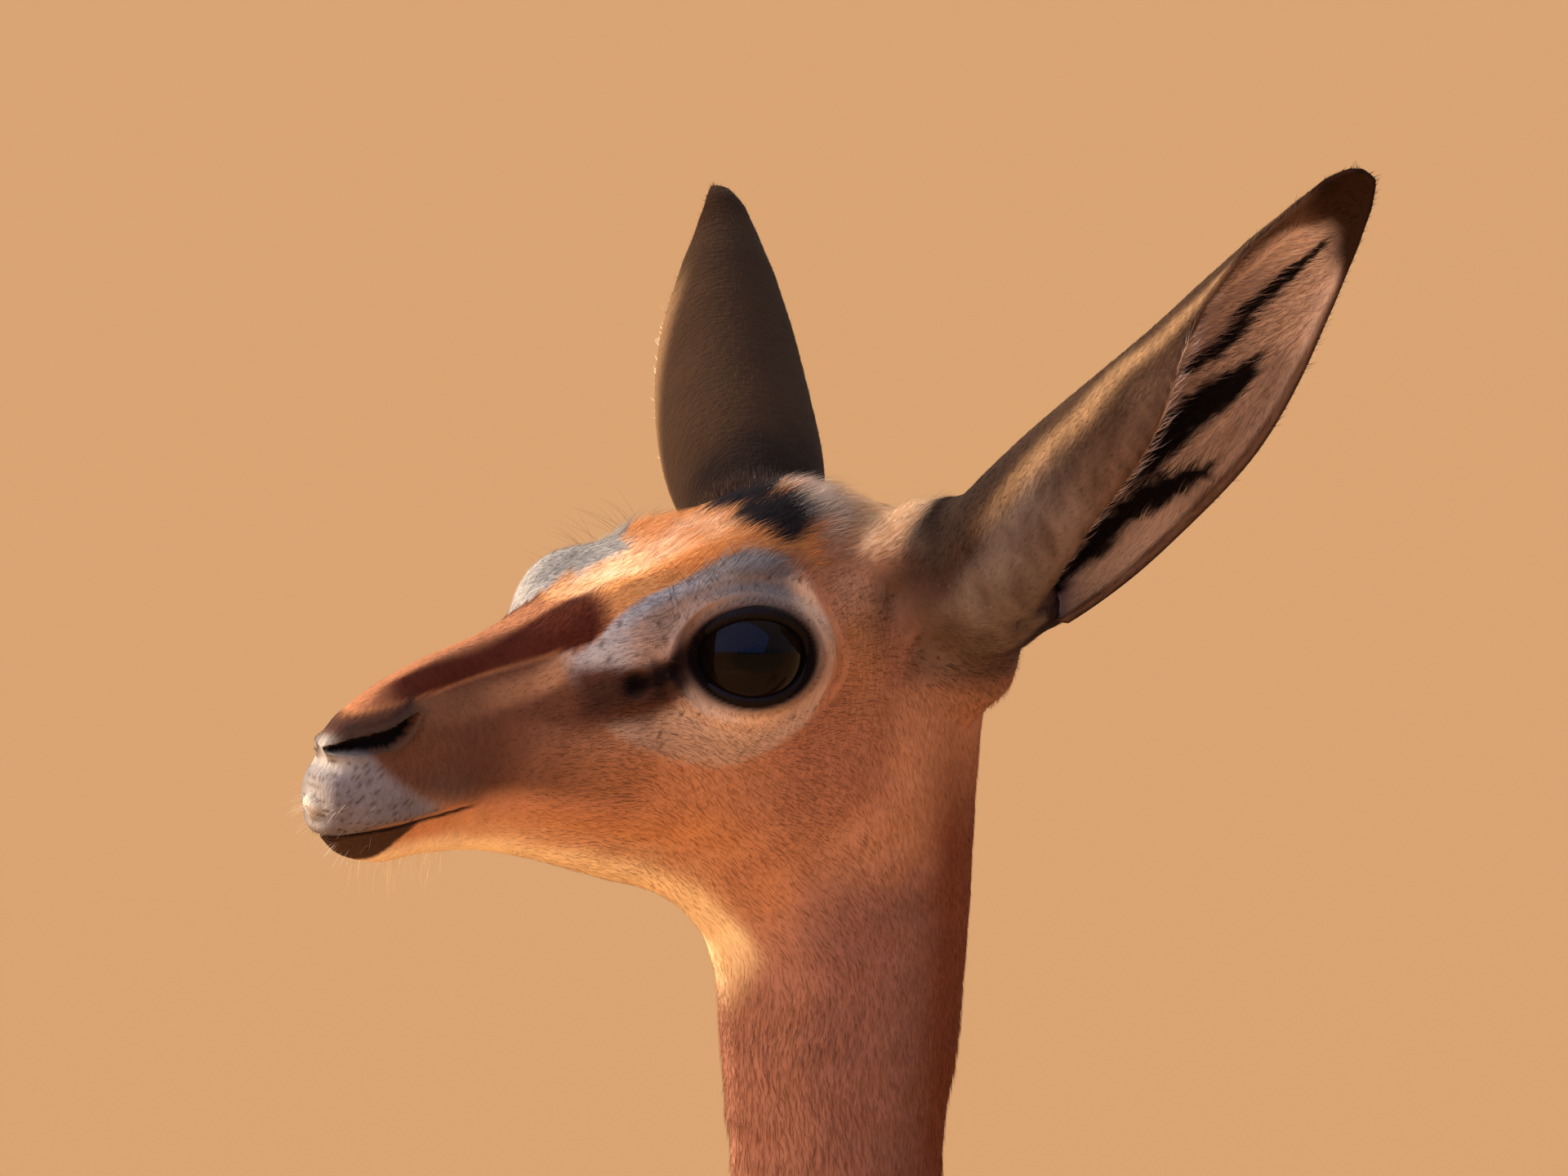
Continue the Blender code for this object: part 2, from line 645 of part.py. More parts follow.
def trunk_with_legs():
    """Trunk and upper legs grown together, evened out and made coarser."""
    whole = body_tube("trunk", NECK_ROOT - 1.5, RUMP, 40, 60, "coat")
    legs = []
    for name in STEP:
        lowest = 0.30 if name.startswith("fore") else 0.34
        legs.append(leg_tube(name, 0, row_at_height(name, lowest), 20, 24))
    boolean(whole, legs, "UNION")
    remesh = whole.modifiers.new("grown together", "REMESH")
    remesh.mode, remesh.voxel_size = "VOXEL", 0.0065
    even = whole.modifiers.new("even", "SMOOTH")
    even.factor, even.iterations = 0.5, 10
    coarse = whole.modifiers.new("coarse", "DECIMATE")
    coarse.ratio = 0.085
    again = whole.modifiers.new("even again", "SMOOTH")
    again.factor, again.iterations = 0.5, 3
    bpy.context.view_layer.update()
    return applied(whole)


def cut_off(name, source, planes, material, side=0):
    """The part of the source behind all the planes, each given by a point and a normal."""
    bm = bmesh.new()
    bm.from_mesh(source.data)
    for point, normal in planes:
        normal = Vector(normal).normalized()
        found = bmesh.ops.bisect_plane(
            bm,
            geom=bm.verts[:] + bm.edges[:] + bm.faces[:],
            plane_co=Vector(point) - normal * (SEAM_GAP / 2),
            plane_no=normal,
            clear_outer=True,
        )
        cut = [g for g in found["geom_cut"] if isinstance(g, bmesh.types.BMEdge)]
        bmesh.ops.holes_fill(bm, edges=cut)
    if side:
        other = [v for v in bm.verts if v.co.y * side < 0]
        bmesh.ops.delete(bm, geom=other, context="VERTS")
    bmesh.ops.triangulate(bm, faces=bm.faces)
    return object_of(name, bm, material)


def section_plane(number):
    """A point and a normal towards the head of the section with that number."""
    top_x, top_z, bottom_x, bottom_z = body_table()[number][:4]
    return (
        Vector((top_x, 0, top_z)),
        Vector((top_z - bottom_z, 0, -(top_x - bottom_x))) * -1,
    )


def hoof(leg, claw):
    """One claw of a foot, flat below and pointed ahead; claw is -1 inside and 1 outside."""
    side = -1 if leg.endswith("left") else 1
    last = leg_table(leg)[-1]
    x = last[0] - STEP[leg] * (FORE_TOP - last[1]) / FORE_TOP
    bm, share, angle = tube(14, 5)
    points = []
    for s, a in zip(share, angle, strict=True):
        z = (CORONET_HEIGHT - SEAM_GAP) * (1 - s)
        deep, wide = 0.0152 + 0.0062 * s, 0.0076 + 0.0008 * s - 0.0010 * s * s
        ahead = math.cos(a)
        point = 1 - 0.45 * max(ahead, 0) ** 3
        lean = -0.0085 * s
        y = side * (last[4] + claw * 0.0088) + wide * point * math.sin(a)
        points.append((x + lean - deep * ahead, y, z))
    place(bm, points)
    return object_of(f"hoof_{leg}_{'outer' if claw > 0 else 'inner'}", bm, "hoof")


def lower_leg(leg, top):
    """From knee or hock to the coronet, with the two dewclaws behind the fetlock."""
    table = leg_table(leg)
    first = row_at_height(leg, top - SEAM_GAP)
    shank = leg_tube(leg, first, len(table) - 1, 14, 22, "shanks")
    shank.name = leg + "_shank"
    fetlock = table[-3]
    side = -1 if leg.endswith("left") else 1
    x = fetlock[0] - STEP[leg] * (FORE_TOP - fetlock[1]) / FORE_TOP
    nubs = []
    for away in (-0.0085, 0.0085):
        bm = bmesh.new()
        bmesh.ops.create_uvsphere(bm, u_segments=8, v_segments=5, radius=0.0058)
        bmesh.ops.scale(bm, verts=bm.verts, vec=(1.0, 0.85, 1.5))
        centre = Vector((x + 0.0110, side * (fetlock[4] + away), fetlock[1] - 0.012))
        bmesh.ops.translate(bm, verts=bm.verts, vec=centre)
        nubs.append(object_of("dewclaw", bm))
    return boolean(shank, nubs, "UNION")


def lock(root, tip, wide, bend):
    """One flat lock of hair, tapering to its tip and bowed outwards on the way."""
    bm, share, angle = tube(5, 4)
    way = (tip - root).normalized()
    out = Vector((bend.x, bend.y, 0))
    out = out.normalized() if out.length > 1e-6 else Vector((1, 0, 0))
    across = way.cross(out).normalized()
    points = []
    for s, a in zip(share, angle, strict=True):
        thin = (1 - s) ** 0.7 + 0.10
        centre = root.lerp(tip, s) + out * (0.008 * math.sin(s * math.pi * 0.8))
        points.append(
            centre
            + across * (wide * thin * math.cos(a))
            + out * (wide * 0.45 * thin * math.sin(a))
        )
    place(bm, points)
    return object_of("lock", bm)


def tail_line(share):
    row = along(TAIL, np.array([share * (len(TAIL) - 1)]))[0]
    return Vector((row[0], 0, row[1])), row[2]


def tail(torso):
    """The thin tail, hanging, with its black tuft of overlapping locks."""
    bm, share, angle = tube(10, 16)
    points = []
    for s, a in zip(share, angle, strict=True):
        centre, radius = tail_line(s)
        ahead = (tail_line(min(s + 0.02, 1))[0] - tail_line(max(s - 0.02, 0))[0]).normalized()
        out = ahead.cross(Vector((0, 1, 0)))
        points.append(centre + out * (radius * math.cos(a)) + Vector((0, radius * math.sin(a), 0)))
    place(bm, points)
    stem = object_of("tail", bm, "tail")
    draw = np.random.default_rng(7)
    locks = []
    for k in range(TUFT_LOCKS):
        share = k / TUFT_LOCKS
        drop = TUFT_TOP - 0.055 * share
        centre = Vector((0.400 + (drop - 0.63) / 12, 0, drop))
        angle = k * 2.4
        out = Vector((math.cos(angle), math.sin(angle), 0))
        length = TUFT_LENGTH * (0.85 + 0.3 * draw.random())
        tip = centre + out * (0.009 + 0.004 * draw.random()) - Vector((0.004, 0, length))
        locks.append(lock(centre, tip, 0.0078, out))
    boolean(stem, locks, "UNION")
    return boolean(stem, [inflated(torso)], "DIFFERENCE")


def centre_on_footprint():
    """Moves all the solids so that the middle of their box stands over the origin."""
    things = bpy.data.collections["gerenuk"].objects
    corners = np.array([v.co for thing in things for v in thing.data.vertices])
    middle = (corners.min(0) + corners.max(0)) / 2
    for thing in things:
        for vertex in thing.data.vertices:
            vertex.co.x -= middle[0]
            vertex.co.y -= middle[1]


def build():
    start_empty()
    head_with_openings()
    for side, name in ((1, "left"), (-1, "right")):
        eye_ball("eye_" + name, side, EYE_RADIUS, "eye")
    plain_head = head_form("plain_head")
    for name in EARS:
        ear(name, plain_head)
    bpy.data.objects.remove(plain_head)
    neck_plane, neck_way = section_plane(NECK_ROOT)
    root_share = (SEAM_GAP / 2) / 0.05
    body_tube("neck", NAPE + 0.02, NECK_ROOT - root_share, 28, 18, "coat")
    whole = trunk_with_legs()
    ahead = (neck_plane, neck_way)
    fore = (Vector((0, 0, FORE_TOP)), Vector((0, 0, 1)))
    hind = (GROIN, Vector((-GROIN_RISE, 0, 1)))
    cut_trunk(whole, ahead, fore, hind)
    for leg, knee in (("foreleg", FORE_KNEE), ("hindleg", HIND_HOCK)):
        for side in ("left", "right"):
            lower_leg(f"{leg}_{side}", knee)
            for claw in (-1, 1):
                hoof(f"{leg}_{side}", claw)
    tail(bpy.data.objects["torso"])
    bpy.data.objects.remove(whole)
    centre_on_footprint()


def cut_trunk(whole, ahead, fore, hind):
    """Parts trunk and upper legs by planes, each side of a plane keeping half the gap."""
    middle = 0.05
    legs = {
        "foreleg": [fore, (Vector((middle, 0, 0)), Vector((1, 0, 0)))],
        "hindleg": [hind, (Vector((middle, 0, 0)), Vector((-1, 0, 0)))],
    }
    knees = {"foreleg": FORE_KNEE, "hindleg": HIND_HOCK}
    for leg, planes in legs.items():
        lower = (Vector((0, 0, knees[leg])), Vector((0, 0, -1)))
        for side, sign in (("left", -1), ("right", 1)):
            cut_off(f"{leg}_{side}", whole, [*planes, lower], "coat", side=sign)
    torso_of(whole, ahead, fore, hind)


def torso_of(whole, ahead, fore, hind):
    """The trunk alone: what lies behind the neck's root and above both leg planes."""
    bm = bmesh.new()
    bm.from_mesh(whole.data)
    upper = [
        (ahead[0], ahead[1]),
        (fore[0], -fore[1]),
        (hind[0], -hind[1]),
    ]
    for number, (point, normal) in enumerate(upper):
        normal = Vector(normal).normalized()
        found = bmesh.ops.bisect_plane(
            bm,
            geom=bm.verts[:] + bm.edges[:] + bm.faces[:],
            plane_co=Vector(point) - normal * (SEAM_GAP / 2),
            plane_no=normal,
            clear_outer=True,
        )
        cut = [g for g in found["geom_cut"] if isinstance(g, bmesh.types.BMEdge)]
        bmesh.ops.holes_fill(bm, edges=cut)
    bmesh.ops.triangulate(bm, faces=bm.faces)
    object_of("torso", bm, "coat")


build()
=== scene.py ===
"""Looks of the standing gerenuk: its skin, coat, eyes, lids, hooves, tuft, floor and light.

Metres, +Z up. The body is shaped straight and symmetric from the same sections as its
solids, then posed() turns the head to its left. Head sizes are millimetres from the mid
point between the eyes: forward, left and up.
"""

import math

import bmesh
import bpy
import numpy as np
from mathutils import Matrix, Vector
from mathutils.kdtree import KDTree


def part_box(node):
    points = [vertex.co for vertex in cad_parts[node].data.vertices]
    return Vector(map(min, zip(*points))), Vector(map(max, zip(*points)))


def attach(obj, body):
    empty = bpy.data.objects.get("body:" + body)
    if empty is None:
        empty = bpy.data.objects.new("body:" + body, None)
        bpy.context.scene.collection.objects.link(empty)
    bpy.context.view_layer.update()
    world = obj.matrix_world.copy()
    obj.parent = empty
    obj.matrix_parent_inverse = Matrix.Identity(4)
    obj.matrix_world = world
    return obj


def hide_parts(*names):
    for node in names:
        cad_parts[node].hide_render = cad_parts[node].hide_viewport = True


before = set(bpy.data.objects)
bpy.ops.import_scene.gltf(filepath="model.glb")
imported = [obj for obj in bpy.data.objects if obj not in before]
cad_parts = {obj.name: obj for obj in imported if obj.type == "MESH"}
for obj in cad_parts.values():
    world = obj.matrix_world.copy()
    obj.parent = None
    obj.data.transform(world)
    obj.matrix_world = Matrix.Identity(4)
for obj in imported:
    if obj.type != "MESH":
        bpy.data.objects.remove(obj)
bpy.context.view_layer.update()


MM = 0.001

# Driving sizes and places of the straight design, in metres
EYE_HEIGHT = 1.323
HEAD_X = -0.390
NECK_X = -0.345
HEAD_TURN = math.radians(25)
HEAD_LEAN = math.radians(5)
TURN_LOW, TURN_HIGH = 1.00, 1.19
LEAN_PIVOT_HEIGHT = 1.10
SEAM_GAP = 0.0003
CORONET_HEIGHT = 0.038

# Eyes, in millimetres
EYE_RADIUS = 18.4
EYE_CENTRE = (3.4, 28.0, 1.4)
EYE_FORWARD_TURN = math.radians(14)
LID_HALF_LENGTH, LID_HALF_HEIGHT = 16.0, 12.4
LID_THICKNESS = 2.4

# Sections of the body from muzzle to rump: top and bottom point on the middle plane,
# then half widths at the top, middle and bottom of the section, and for the head how
# round its upper corners are (1 is an oval, less is squarer).
# Head and upper neck: (forward, up) in millimetres from between the eyes.
HEAD_SECTIONS = (
    ((129.5, -40.0), (128.5, -49.0), (4, 6, 4, 0.9)),  # front of the upper lip
    ((128.5, -31.0), (126.0, -55.5), (9, 12.5, 10, 0.85)),
    ((125.0, -22.5), (120.0, -60.0), (11, 15.5, 12, 0.8)),  # nose tip and lips
    ((113.0, -11.5), (108.0, -62.5), (12, 17.5, 13.5, 0.75)),
    ((96.5, -2.5), (94.0, -60.5), (12, 18, 14, 0.75)),  # back of the nostrils
    ((78.0, 4.5), (77.0, -60.0), (13, 20, 15, 0.75)),  # corner of the mouth
    ((60.0, 11.5), (60.0, -63.0), (20.5, 27.5, 19, 0.68)),
    ((43.0, 18.5), (46.0, -67.0), (32, 34, 21, 0.58)),
    ((26.0, 26.5), (35.0, -70.5), (37, 36, 21, 0.5)),  # front of the brow
    ((8.0, 35.0), (25.0, -73.0), (39, 38.5, 23, 0.5)),
    ((-10.0, 42.5), (17.0, -76.0), (36, 38.5, 25, 0.55)),
    ((-29.0, 45.5), (10.0, -80.0), (34, 37, 27, 0.6)),  # crown
    ((-50.0, 40.5), (4.5, -85.0), (32, 35.5, 28, 0.65)),  # poll, ears to each side
    ((-68.0, 34.0), (0.5, -90.0), (27, 33, 28, 0.75)),
    ((-82.0, 20.0), (-2.0, -96.0), (26, 31, 27.5, 0.85)),
    ((-87.0, -8.0), (-4.0, -102.0), (26, 30.5, 27, 0.9)),  # nape and throat
    ((-86.2, -42.0), (-5.5, -111.0), (25, 29.5, 26, 0.92)),
    ((-85.3, -80.0), (-7.0, -124.0), (25, 28.5, 25, 0.92)),
    ((-83.5, -120.0), (-9.0, -142.0), (24, 28, 24, 0.92)),
    ((-80.0, -160.0), (-12.0, -163.0), (24, 28, 24, 0.92)),
)
NAPE, NECK_TOP = 15, 19
# Neck, trunk and rump: (x, z) in metres, half widths in metres.
BODY_SECTIONS = (
    ((-0.2990, 1.095), (-0.3730, 1.080), (0.026, 0.030, 0.027)),
    ((-0.2800, 1.025), (-0.3620, 0.990), (0.030, 0.035, 0.031)),
    ((-0.2480, 0.968), (-0.3520, 0.900), (0.037, 0.047, 0.043)),  # neck root
    ((-0.2100, 0.938), (-0.3480, 0.805), (0.042, 0.064, 0.060)),  # point of the chest
    ((-0.1600, 0.926), (-0.3150, 0.715), (0.047, 0.080, 0.073)),  # withers
    ((-0.1050, 0.918), (-0.2450, 0.662), (0.052, 0.091, 0.080)),  # brisket
    ((-0.0500, 0.913), (-0.1650, 0.636), (0.058, 0.098, 0.085)),
    ((0.0200, 0.912), (-0.0600, 0.628), (0.062, 0.102, 0.086)),  # ribs
    ((0.1000, 0.917), (0.0600, 0.640), (0.064, 0.101, 0.083)),
    ((0.1800, 0.924), (0.1650, 0.668), (0.064, 0.095, 0.076)),  # flank
    ((0.2500, 0.924), (0.2450, 0.700), (0.064, 0.089, 0.072)),  # croup
    ((0.3100, 0.908), (0.3000, 0.728), (0.060, 0.080, 0.066)),
    ((0.3500, 0.876), (0.3400, 0.750), (0.046, 0.060, 0.052)),
    ((0.3730, 0.838), (0.3640, 0.776), (0.025, 0.035, 0.028)),  # below the tail root
    ((0.3800, 0.812), (0.3790, 0.802), (0.004, 0.006, 0.004)),
)
NECK_ROOT = NECK_TOP + 3
RUMP = NECK_TOP + len(BODY_SECTIONS)

# Leg sections from top to coronet: x, z, half depth, half width, distance from the middle.
FORELEG = (
    (-0.212, 0.800, 0.058, 0.030, 0.056),  # shoulder
    (-0.224, 0.705, 0.057, 0.036, 0.064),
    (-0.205, 0.628, 0.047, 0.030, 0.066),  # elbow
    (-0.204, 0.560, 0.033, 0.0245, 0.063),
    (-0.207, 0.460, 0.0215, 0.0175, 0.058),
    (-0.208, 0.372, 0.0165, 0.0145, 0.055),
    (-0.211, 0.335, 0.0190, 0.0168, 0.054),  # knee
    (-0.207, 0.292, 0.0143, 0.0130, 0.053),
    (-0.205, 0.200, 0.0106, 0.0096, 0.053),  # cannon
    (-0.205, 0.128, 0.0113, 0.0104, 0.053),
    (-0.202, 0.096, 0.0148, 0.0136, 0.053),  # fetlock
    (-0.211, 0.062, 0.0108, 0.0116, 0.053),
    (-0.220, CORONET_HEIGHT, 0.0160, 0.0166, 0.053),
)
HINDLEG = (
    (0.290, 0.835, 0.072, 0.030, 0.050),  # hip
    (0.273, 0.760, 0.088, 0.043, 0.056),
    (0.255, 0.680, 0.080, 0.044, 0.066),
    (0.236, 0.606, 0.061, 0.037, 0.073),  # stifle
    (0.254, 0.530, 0.040, 0.027, 0.070),
    (0.290, 0.455, 0.0250, 0.0190, 0.064),
    (0.325, 0.390, 0.0190, 0.0146, 0.059),
    (0.343, 0.348, 0.0220, 0.0158, 0.057),  # hock
    (0.337, 0.300, 0.0160, 0.0134, 0.056),
    (0.330, 0.210, 0.0115, 0.0102, 0.056),  # cannon
    (0.326, 0.132, 0.0120, 0.0110, 0.056),
    (0.326, 0.099, 0.0153, 0.0138, 0.056),  # fetlock
    (0.314, 0.064, 0.0112, 0.0118, 0.056),
    (0.303, CORONET_HEIGHT, 0.0162, 0.0168, 0.056),
)
# How far each foot is set forward of the square stance, growing from elbow to ground
STEP = {
    "foreleg_left": 0.030,
    "foreleg_right": -0.026,
    "hindleg_left": -0.034,
    "hindleg_right": 0.040,
}
FORE_TOP, FORE_KNEE = 0.612, 0.352
HIND_HOCK = 0.392
GROIN = Vector((0.17, 0.0, 0.652))
GROIN_RISE = 0.48

# Swellings (+) and hollows (-) of the head: forward and up place, reach forward and up,
# then the push forward, outwards and up, in millimetres.
HEAD_FORMS = (
    ((43, 9), (18, 16), (2.5, 8.5, 4.0)),  # front of the brow
    ((8, 24), (20, 9), (0, 6.0, 2.5)),  # brow over the eye
    ((-22, 4), (9, 16), (0, 3.0, 0)),  # rim behind the eye
    ((4, -18), (18, 7), (0, 2.5, 0)),  # cheek bone under the eye
    ((44, -16), (14, 8), (0, -2.0, 0)),  # hollow before the eye
    ((0, -50), (24, 18), (0, 3.0, 0)),  # jaw muscle
    ((68, -24), (20, 12), (0, -1.6, 0)),  # side of the nose
    ((114, -20), (12, 8), (0, 2.2, 0)),  # nostril wing
    ((114, -47), (13, 7), (0, 1.8, 0)),  # upper lip
    ((130, -31), (5, 3), (-2.5, 0, 0)),  # notch under the nose
    ((-74, 24), (16, 16), (0, 7.0, 5.0)),  # muscle at the root of the ear
    ((-82, -3), (12, 14), (0, 9.0, 0)),  # behind the ear
)

# Mouth line and nostril: (forward, up) in millimetres
MOUTH_CORNER, MOUTH_FRONT, MOUTH_RADIUS = (77.0, -45.5), (121.0, -55.0), 1.3
NOSTRIL_BACK, NOSTRIL_FRONT, NOSTRIL_HEIGHT = (98.0, -17.0), (128.0, -27.5), 8.0

# Ears: share of the length, radius of the cup, half its wall and its turn, in degrees
EAR_LENGTH = 172.0
EAR_SECTIONS = (
    (0.00, 18.0, 174, 12),
    (0.10, 21.0, 168, 12),
    (0.20, 24.0, 152, 10),
    (0.33, 26.5, 128, 6),
    (0.48, 26.0, 112, 0),
    (0.64, 23.5, 92, -8),
    (0.78, 19.0, 76, -16),
    (0.88, 14.0, 68, -22),
    (0.95, 10.0, 62, -25),
    (0.985, 6.5, 58, -25),
    (1.00, 3.5, 55, -25),
)
EAR_THICKNESS = 0.0022
# Each ear: root in the head, then in the posed head's x, y and z the way that its length
# and its opening point, which way its sections turn, its width, its bow in metres, and
# the radius of its root bulb in millimetres.
EARS = {
    "ear_left": (
        (-71.0, 31.0, 20.5), (0.655, -0.28, 0.705), (0.52, -0.52, -0.68), -1, 1.03, 0.013, 22
    ),
    "ear_right": (
        (-31.5, -31.0, 17.0), (-0.10, 0.795, 0.60), (-0.333, 0.541, -0.768), 1, 0.87, 0.010, 18
    ),
}

TAIL = (
    (0.366, 0.860, 0.0140),
    (0.388, 0.842, 0.0120),
    (0.402, 0.805, 0.0098),
    (0.408, 0.750, 0.0082),
    (0.405, 0.690, 0.0072),
    (0.400, 0.630, 0.0064),
)
TUFT_LOCKS, TUFT_LENGTH, TUFT_TOP = 18, 0.075, 0.690


def along(table, t):
    """Smooth values of the table's rows at row numbers t, which may lie between rows."""
    rows = np.asarray(table, float)
    t = np.clip(np.asarray(t, float), 0, len(rows) - 1)
    i = np.minimum(t.astype(int), len(rows) - 2)
    f = (t - i)[:, None]
    before, after = np.maximum(i - 1, 0), np.minimum(i + 2, len(rows) - 1)
    a, b, c, d = rows[before], rows[i], rows[i + 1], rows[after]
    return b + 0.5 * f * (c - a + f * (2 * a - 5 * b + 4 * c - d + f * (3 * (b - c) + d - a)))


def smooth_step(share):
    share = np.clip(share, 0, 1)
    return share * share * (3 - 2 * share)


def body_table():
    """All sections in metres: top x and z, bottom x and z, three half widths, roundness."""
    rows = []
    for top, bottom, widths in HEAD_SECTIONS:
        rows.append(
            (HEAD_X - top[0] * MM, EYE_HEIGHT + top[1] * MM)
            + (HEAD_X - bottom[0] * MM, EYE_HEIGHT + bottom[1] * MM)
            + tuple(w * MM for w in widths[:3])
            + widths[3:]
        )
    rows.extend((*top, *bottom, *widths, 0.92) for top, bottom, widths in BODY_SECTIONS)
    return np.array(rows)


def head_sculpted(points):
    """The head's swellings and hollows, on points of the straight design."""
    head = np.column_stack(
        (HEAD_X - points[:, 0], -points[:, 1], points[:, 2] - EYE_HEIGHT)
    ) / MM
    side = np.sign(head[:, 1]) * smooth_step(np.abs(head[:, 1]) / 18)
    for (forward, up), (long, tall), push in HEAD_FORMS:
        share = np.exp(
            -(((head[:, 0] - forward) / long) ** 2) - ((head[:, 2] - up) / tall) ** 2
        )
        rise = np.abs(side) if push[1] else np.ones(len(head))
        head = head + share[:, None] * np.column_stack(
            (push[0] * np.ones(len(head)), push[1] * side, push[2] * rise)
        )
    head = seated_on_eyes(head)
    return np.column_stack(
        (HEAD_X - head[:, 0] * MM, -head[:, 1] * MM, EYE_HEIGHT + head[:, 2] * MM)
    )


def eye_axes():
    """The way the left eye looks, and its forward and up directions, as head vectors."""
    turn = EYE_FORWARD_TURN
    look = np.array((math.sin(turn), math.cos(turn), 0.03))
    look /= np.linalg.norm(look)
    ahead = np.array((math.cos(turn), -math.sin(turn), 0.0))
    return look, ahead, np.cross(ahead, look)


def seated_on_eyes(head):
    """Draws the skin round each eye onto the eyeball, and behind it within the lids."""
    look, ahead, up = eye_axes()
    side = np.where(head[:, 1] < 0, -1.0, 1.0)
    away = head * np.column_stack((np.ones(len(head)), side, np.ones(len(head))))
    away = away - np.array(EYE_CENTRE)
    out, a, b = away @ look, away @ ahead, away @ up
    reach = np.hypot(a / LID_HALF_LENGTH, b / LID_HALF_HEIGHT)
    inner = np.maximum(reach, 1.0)
    radius = EYE_RADIUS + 0.4 - 5 * smooth_step((0.95 - reach) / 0.3)
    ball = radius**2 - (a / inner) ** 2 - (b / inner) ** 2
    share = smooth_step((1.65 - reach) / 0.6) * (out > 0)
    move = (share * (np.sqrt(np.maximum(ball, 1.0)) - out))[:, None] * look
    move[:, 1] *= side
    return head + move


def body_points(t, angle):
    """Points of the straight body at section numbers t and angles from the top."""
    row = along(body_table(), t)
    share = (1 - np.cos(angle)) / 2
    top, bottom = row[:, 0:2], row[:, 2:4]
    middle = top + (bottom - top) * share[:, None]
    high, centre, low = row[:, 4], row[:, 5], row[:, 6]
    s = np.clip((share - 0.5) / 0.35, -1, 1)
    width = centre + s * (low - high) / 2 + s * s * ((low + high) / 2 - centre)
    sine = np.sin(angle)
    round_share = 0.92 + (row[:, 7] - 0.92) * smooth_step((0.7 - share) / 0.5)
    width = width * np.sign(sine) * np.abs(sine) ** round_share
    return head_sculpted(np.column_stack((middle[:, 0], width, middle[:, 1])))


def posed(points):
    """Leans the head over and turns it to its left, twisting the neck below it."""
    p = np.array(points, float)
    share = smooth_step((p[:, 2] - TURN_LOW) / (TURN_HIGH - TURN_LOW))
    lean, up = share * HEAD_LEAN, p[:, 2] - LEAN_PIVOT_HEIGHT
    y = p[:, 1] * np.cos(lean) - up * np.sin(lean)
    z = p[:, 1] * np.sin(lean) + up * np.cos(lean) + LEAN_PIVOT_HEIGHT
    turn, x = share * HEAD_TURN, p[:, 0] - NECK_X
    return np.column_stack(
        (NECK_X + x * np.cos(turn) - y * np.sin(turn), x * np.sin(turn) + y * np.cos(turn), z)
    )


def head_place(forward, left, up):
    """A posed point of the head from millimetres forward, left and up."""
    straight = (HEAD_X - forward * MM, -left * MM, EYE_HEIGHT + up * MM)
    return Vector(posed([straight])[0])


def head_way(forward, left, up):
    """A posed unit direction of the head."""
    return (head_place(forward, left, up) - head_place(0, 0, 0)).normalized()

# ---------------------------------------------------------------- shapes shared by pieces

EYE_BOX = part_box("eye_left")
SHIFT = (EYE_BOX[0] + EYE_BOX[1]) / 2 - head_place(*EYE_CENTRE)
SEED = 11


def straightened(points):
    """The places in the straight design of points of the posed body."""
    p = np.asarray(points, float) - np.array(SHIFT)
    q = p.copy()
    for _ in range(8):
        share = smooth_step((q[:, 2] - TURN_LOW) / (TURN_HIGH - TURN_LOW))
        turn, lean = share * HEAD_TURN, share * HEAD_LEAN
        x, y = p[:, 0] - NECK_X, p[:, 1]
        up = p[:, 2] - LEAN_PIVOT_HEIGHT
        level = -x * np.sin(turn) + y * np.cos(turn)
        q = np.column_stack(
            (
                NECK_X + x * np.cos(turn) + y * np.sin(turn),
                level * np.cos(lean) + up * np.sin(lean),
                -level * np.sin(lean) + up * np.cos(lean) + LEAN_PIVOT_HEIGHT,
            )
        )
    return q


def to_head(straight):
    """Straight design points as millimetres of the head: forward, left and up."""
    return np.column_stack(
        (HEAD_X - straight[:, 0], -straight[:, 1], straight[:, 2] - EYE_HEIGHT)
    ) / MM


def from_head(head):
    return np.column_stack(
        (HEAD_X - head[:, 0] * MM, -head[:, 1] * MM, EYE_HEIGHT + head[:, 2] * MM)
    )


def coordinates(bm):
    return np.array([v.co for v in bm.verts])


def place(bm, points):
    for vertex, point in zip(bm.verts, points, strict=True):
        vertex.co = point


def sheet(columns, rows):
    """A flat grid to be bent, with each vertex's share across and along it."""
    bm = bmesh.new()
    bmesh.ops.create_grid(bm, x_segments=columns, y_segments=rows, size=0.5)
    co = coordinates(bm)
    return bm, co[:, 0] + 0.5, co[:, 1] + 0.5


def piece(name, bm, material=None, smooth=True):
    """The bmesh as an object of the scene, closed bodies facing outwards."""
    mesh = bpy.data.meshes.new(name)
    bm.to_mesh(mesh)
    bm.free()
    thing = bpy.data.objects.new(name, mesh)
    bpy.context.scene.collection.objects.link(thing)
    if material:
        mesh.materials.append(material)
    if smooth:
        mesh.shade_smooth()
    return thing


def facing_out(bm):
    bmesh.ops.recalc_face_normals(bm, faces=bm.faces)
    if bm.calc_volume(signed=True) < 0:
        bmesh.ops.reverse_faces(bm, faces=bm.faces)
    return bm


def applied(thing):
    """Replaces the object's mesh by the one that its modifiers make."""
    bpy.context.view_layer.update()
    graph = bpy.context.evaluated_depsgraph_get()
    made = bpy.data.meshes.new_from_object(thing.evaluated_get(graph))
    thing.modifiers.clear()
    thing.data = made
    return thing


